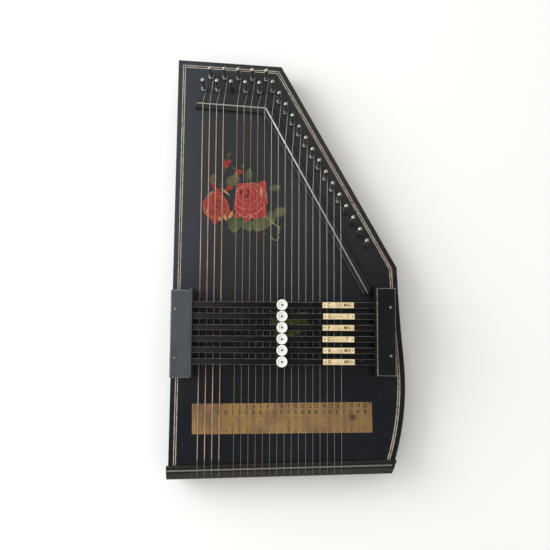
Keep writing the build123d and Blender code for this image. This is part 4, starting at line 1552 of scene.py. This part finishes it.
@dataclass
class StringBand:
    """The twenty strings: a coil on each pin, a run over both wires and a loop on its hitch pin."""

    first_x: float = -103.4
    pitch: float = 8.28
    bare: tuple[int, ...] = (4, 21, 22, 23, 24)
    wound: tuple[int, ...] = (0, 1, 2, 3)
    plain_radius: float = 0.25
    core_radius: float = 0.30
    pin_radius: float = 2.5
    coil_clear: float = 0.09
    coil_height: float = 3.4
    coil_turns: int = 4
    eye_height: float = 9.6
    coil_steps: int = 20
    board_top: float = 39.0
    crest: float = 7.25
    bridge: tuple[Point, Point, Point] = ((-110.5, 194.2), (-27.7, 188.2), (93.7, -34.8))
    tail_wire: tuple[Point, Point] = ((-138.3, -240.5), (120.0, -232.1))
    tail_line: tuple[Point, Point] = ((-138.0, -249.7), (120.3, -241.3))
    lip_out: float = 0.8
    lip_height: float = 3.9
    hitch_drop: float = 9.0
    hitch_radius: float = 0.8
    twist_turns: int = 5
    turn_pitch: float = 2.04
    wire_bend: float = 0.5
    eye_steps: int = 16
    twist_steps: int = 10

    def coil(self, place: int, radius: float) -> list[Vector]:
        """A string's turns round its pin, from the eye down to where it leaves on the treble side.

        Args:
            place: The string's number from the bass.
            radius: The string's radius in millimetres.

        Returns:
            Points in millimetres.
        """
        joint = next(j for j in frame["joints"] if j["name"] == f"pin_{place + 1:02d}_turn")
        lean = Vector(joint["axis"]).normalized()
        base = Vector(joint["pos_m"]) / MM
        right = Vector((1.0, 0.0, 0.0))
        away = lean.cross(right).normalized()
        around = self.pin_radius + self.coil_clear + radius
        points = []
        slack = self.coil_steps * 3 // 4
        total = slack + self.coil_turns * self.coil_steps
        for step in range(total + 1):
            turns = (step - total) / self.coil_steps
            angle = -math.tau * turns
            if step < slack:
                share = 1 - step / slack
                top = self.coil_height + self.coil_turns * self.turn_pitch * radius
                height = top + (self.eye_height - top) * share ** 1.5
            else:
                height = self.coil_height - turns * self.turn_pitch * radius
            points.append(
                base + lean * height + (right * math.cos(angle) + away * math.sin(angle)) * around
            )
        return points

    def run(self, place: int, radius: float) -> list[Vector]:
        """A string's run from its coil over the bridge and the tail rail to its hitch pin.

        Args:
            place: The string's number from the bass.
            radius: The string's radius in millimetres.

        Returns:
            Points in millimetres.
        """
        x = self.first_x + self.pitch * place
        bass, bend, treble = self.bridge
        line = (bass, bend) if x < bend[0] else (bend, treble)
        top = self.board_top + self.crest + radius
        bridge_y = height_on(*line, x)
        wire_y = height_on(*self.tail_wire, x)
        lip_y = height_on(*self.tail_line, x) - self.lip_out - 0.3 - radius
        drop = self.board_top - self.hitch_drop
        return [
            Vector((x, bridge_y + self.wire_bend, top - 0.03)), Vector((x, bridge_y, top)),
            Vector((x, bridge_y - self.wire_bend, top)), Vector((x, wire_y + self.wire_bend, top)),
            Vector((x, wire_y, top)), Vector((x, wire_y - self.wire_bend, top - 0.08)),
            Vector((x, lip_y + 0.5, self.board_top + self.lip_height + 0.15)),
            Vector((x, lip_y + 0.12, self.board_top + self.lip_height - 0.15)),
            Vector((x, lip_y, self.board_top + self.lip_height - 0.6)),
            Vector((x, lip_y, drop + self.hitch_radius + 5.0)),
            Vector((x + 0.1, lip_y, drop + self.hitch_radius + 2.0)),
        ]

    def loop(self, place: int, radius: float) -> list[Vector]:
        """The eye of a string round its hitch pin, ending in a twist up its own run.

        Args:
            place: The string's number from the bass.
            radius: The string's radius in millimetres.

        Returns:
            Points in millimetres.
        """
        x = self.first_x + self.pitch * place
        y = height_on(*self.tail_line, x) - self.lip_out - 0.3 - radius
        z = self.board_top - self.hitch_drop
        around = self.hitch_radius + 0.07 + radius
        eye = []
        for step in range(self.eye_steps + 1):
            angle = math.radians(60 - 300 * step / self.eye_steps)
            eye.append(Vector((x + around * math.cos(angle), y, z + around * math.sin(angle))))
        twist = []
        aside = 2.0 * radius
        for step in range(self.twist_turns * self.twist_steps + 1):
            turns = step / self.twist_steps
            angle = math.tau * turns
            rise = around + 0.9 + turns * 2.1 * radius
            across, out = aside * math.cos(angle), aside * math.sin(angle)
            twist.append(Vector((x - across, y - out, z + rise)))
        return eye + twist

    def splines(self) -> Iterator[tuple[float, list[Vector]]]:
        """Each string's radius and its whole line, in millimetres."""
        for place in range(PLACES):
            if place not in self.bare:
                radius = self.core_radius if place in self.wound else self.plain_radius
                yield radius, self.coil(place, radius) + self.run(place, radius)
                yield radius, self.loop(place, radius)

    def build(self, metal: Material) -> Piece:
        """Makes all the strings as one piece."""
        curve = bpy.data.curves.new("string_line", "CURVE")
        curve.dimensions = "3D"
        curve.bevel_depth = self.plain_radius * MM
        curve.bevel_resolution = 2
        curve.use_fill_caps = True
        for radius, points in self.splines():
            spline = curve.splines.new("POLY")
            spline.points.add(len(points) - 1)
            for target, spot in zip(spline.points, points):
                target.co = (*(spot * MM), 1.0)
                target.radius = radius / self.plain_radius
        line = placed("string_line", curve)
        mesh = bmesh.new()
        data = bpy.data.meshes.new_from_object(line)
        mesh.from_mesh(data)
        bpy.data.objects.remove(line)
        bpy.data.meshes.remove(data)
        outward(mesh)
        piece = settle(mesh, "string_band", metal, "root", Slot.STRING, smooth=True)
        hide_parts("strings")
        return piece


@dataclass
class Studio:
    """The floor, the lights and the camera above."""

    eye: tuple[float, float, float] = (-15.0, -94.25, 865.0)
    aim: tuple[float, float, float] = (-15.5, -13.25, 39.0)
    up: tuple[float, float, float] = (-0.00577, 1.0, 0.0)
    lens: float = 45.8
    floor_size: float = 6.0
    floor_gap: float = 0.2
    window: tuple[float, float, float] = (-0.78, 0.25, 0.52)
    dim_until: float = -0.1

    def camera(self) -> None:
        """Makes the camera that looks down at the instrument."""
        data = bpy.data.cameras.new("camera")
        data.lens = self.lens
        data.sensor_width = 36.0
        data.clip_start = 0.01
        data.clip_end = 50.0
        camera = placed("camera", data)
        eye = Vector(self.eye) * MM
        ahead = (Vector(self.aim) * MM - eye).normalized()
        right = ahead.cross(Vector(self.up)).normalized()
        turn = Matrix((right, right.cross(ahead), -ahead)).transposed().to_4x4()
        camera.matrix_world = Matrix.Translation(eye) @ turn
        bpy.context.scene.camera = camera

    def floor(self) -> None:
        """Makes the plain pale floor."""
        mesh = bmesh.new()
        bmesh.ops.create_grid(
            mesh, x_segments=8, y_segments=8, size=self.floor_size / 2,
            matrix=Matrix.Translation((0.0, 0.0, -self.floor_gap * MM)),
        )
        data = bpy.data.meshes.new("floor")
        mesh.to_mesh(data)
        mesh.free()
        data.materials.append(PaleFloor("floor_white").material())
        placed("floor", data)

    def lamp(
        self, name: str, place: tuple[float, float, float], size: float, power: float,
        colour: Colour,
    ) -> None:
        """Adds a soft square light aimed at the instrument.

        Args:
            name: The light's name.
            place: Where it is, in metres.
            size: The length of its sides, in metres.
            power: Its power in watts.
            colour: Its colour.
        """
        data = bpy.data.lights.new(name, "AREA")
        data.size = size
        data.energy = power
        data.color = colour
        lamp = placed(name, data)
        lamp.location = place
        lamp.rotation_euler = (-Vector(place)).to_track_quat("-Z", "Y").to_euler()

    def sky(self, dim: Colour, bright: Colour) -> None:
        """Fills the room with soft light that is stronger on the window's side.

        Args:
            dim: The light away from the window.
            bright: The light from the window's side.
        """
        world = bpy.data.worlds.new("room")
        world.use_nodes = True
        nodes, links = world.node_tree.nodes, world.node_tree.links
        place = nodes.new("ShaderNodeTexCoord")
        facing = nodes.new("ShaderNodeVectorMath")
        facing.operation = "DOT_PRODUCT"
        facing.inputs[1].default_value = Vector(self.window).normalized()
        share = nodes.new("ShaderNodeMapRange")
        share.inputs["From Min"].default_value = self.dim_until
        light = nodes.new("ShaderNodeMix")
        light.data_type = "RGBA"
        colours = [socket for socket in light.inputs if socket.type == "RGBA"]
        colours[0].default_value = (*dim, 1.0)
        colours[1].default_value = (*bright, 1.0)
        result = next(socket for socket in light.outputs if socket.type == "RGBA")
        links.new(place.outputs["Generated"], facing.inputs[0])
        links.new(facing.outputs["Value"], share.inputs["Value"])
        links.new(share.outputs["Result"], light.inputs[0])
        links.new(result, nodes["Background"].inputs["Color"])
        bpy.context.scene.world = world

    def build(self) -> None:
        """Makes the whole studio."""
        self.camera()
        self.floor()
        self.sky((0.60, 0.565, 0.51), (1.19, 1.21, 1.22))
        self.lamp("window", (-1.50, 0.45, 1.02), 1.4, 23.0, (0.98, 0.99, 1.0))
        bpy.context.scene.view_settings.view_transform = "Standard"


def main() -> None:
    """Dresses the frame, adds the new pieces and sets up the studio."""
    logging.basicConfig(level=logging.INFO, format="%(message)s")
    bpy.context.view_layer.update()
    Studio().build()
    Casework().dress()
    press = Press()
    BorderLines().build()
    RoseSpray().build()
    GreenSprig().build()
    ScaleLabel().build(press)
    paper = CreamPaper("label_paper").material()
    ink = PrintInk("chord_ink", (0.07, 0.025, 0.016), (0.24, 0.13, 0.065)).material()
    tack = AgedMetal("tack_metal", (0.05, 0.035, 0.03), ((0.0, (0.14, 0.12, 0.10)),)).material()
    nail = AgedMetal("nail_metal", (0.05, 0.04, 0.035), ((0.0, (0.13, 0.125, 0.12)),)).material()
    spring = AgedMetal("spring_metal", (0.20, 0.16, 0.12), ((0.0, (0.48, 0.48, 0.48)),)).material()
    chords = (("C", "MAJ"), ("G", "7"), ("F", "MAJ"), ("C", "7"), ("B", "MAJ"), ("G", "MIN"))
    for number, words in enumerate(chords, start=1):
        chance = random.Random(number)
        shift = (chance.uniform(-0.5, 0.5), chance.uniform(-0.12, 0.12))
        BarLabel(number, words, shift).build(press, paper, ink, tack)
        ButtonNail(number, shift=(chance.uniform(-0.4, 0.4), chance.uniform(-0.4, 0.4))).build(nail)
        BarSprings(number).build(spring)
    press.discard()
    # The strings darken from Y 0.05 down to Y -0.10: painted shade where the chord bars cover them.
    wire = StringWire(
        "string_metal", (0.20, 0.19, 0.17),
        ((-0.10, (0.26, 0.26, 0.255)), (0.05, (0.46, 0.46, 0.45))),
        axis="Y", rough=0.36, stain=0.4, mark=0.012,
    )
    StringBand().build(wire.material())


if __name__ == "__main__":
    main()
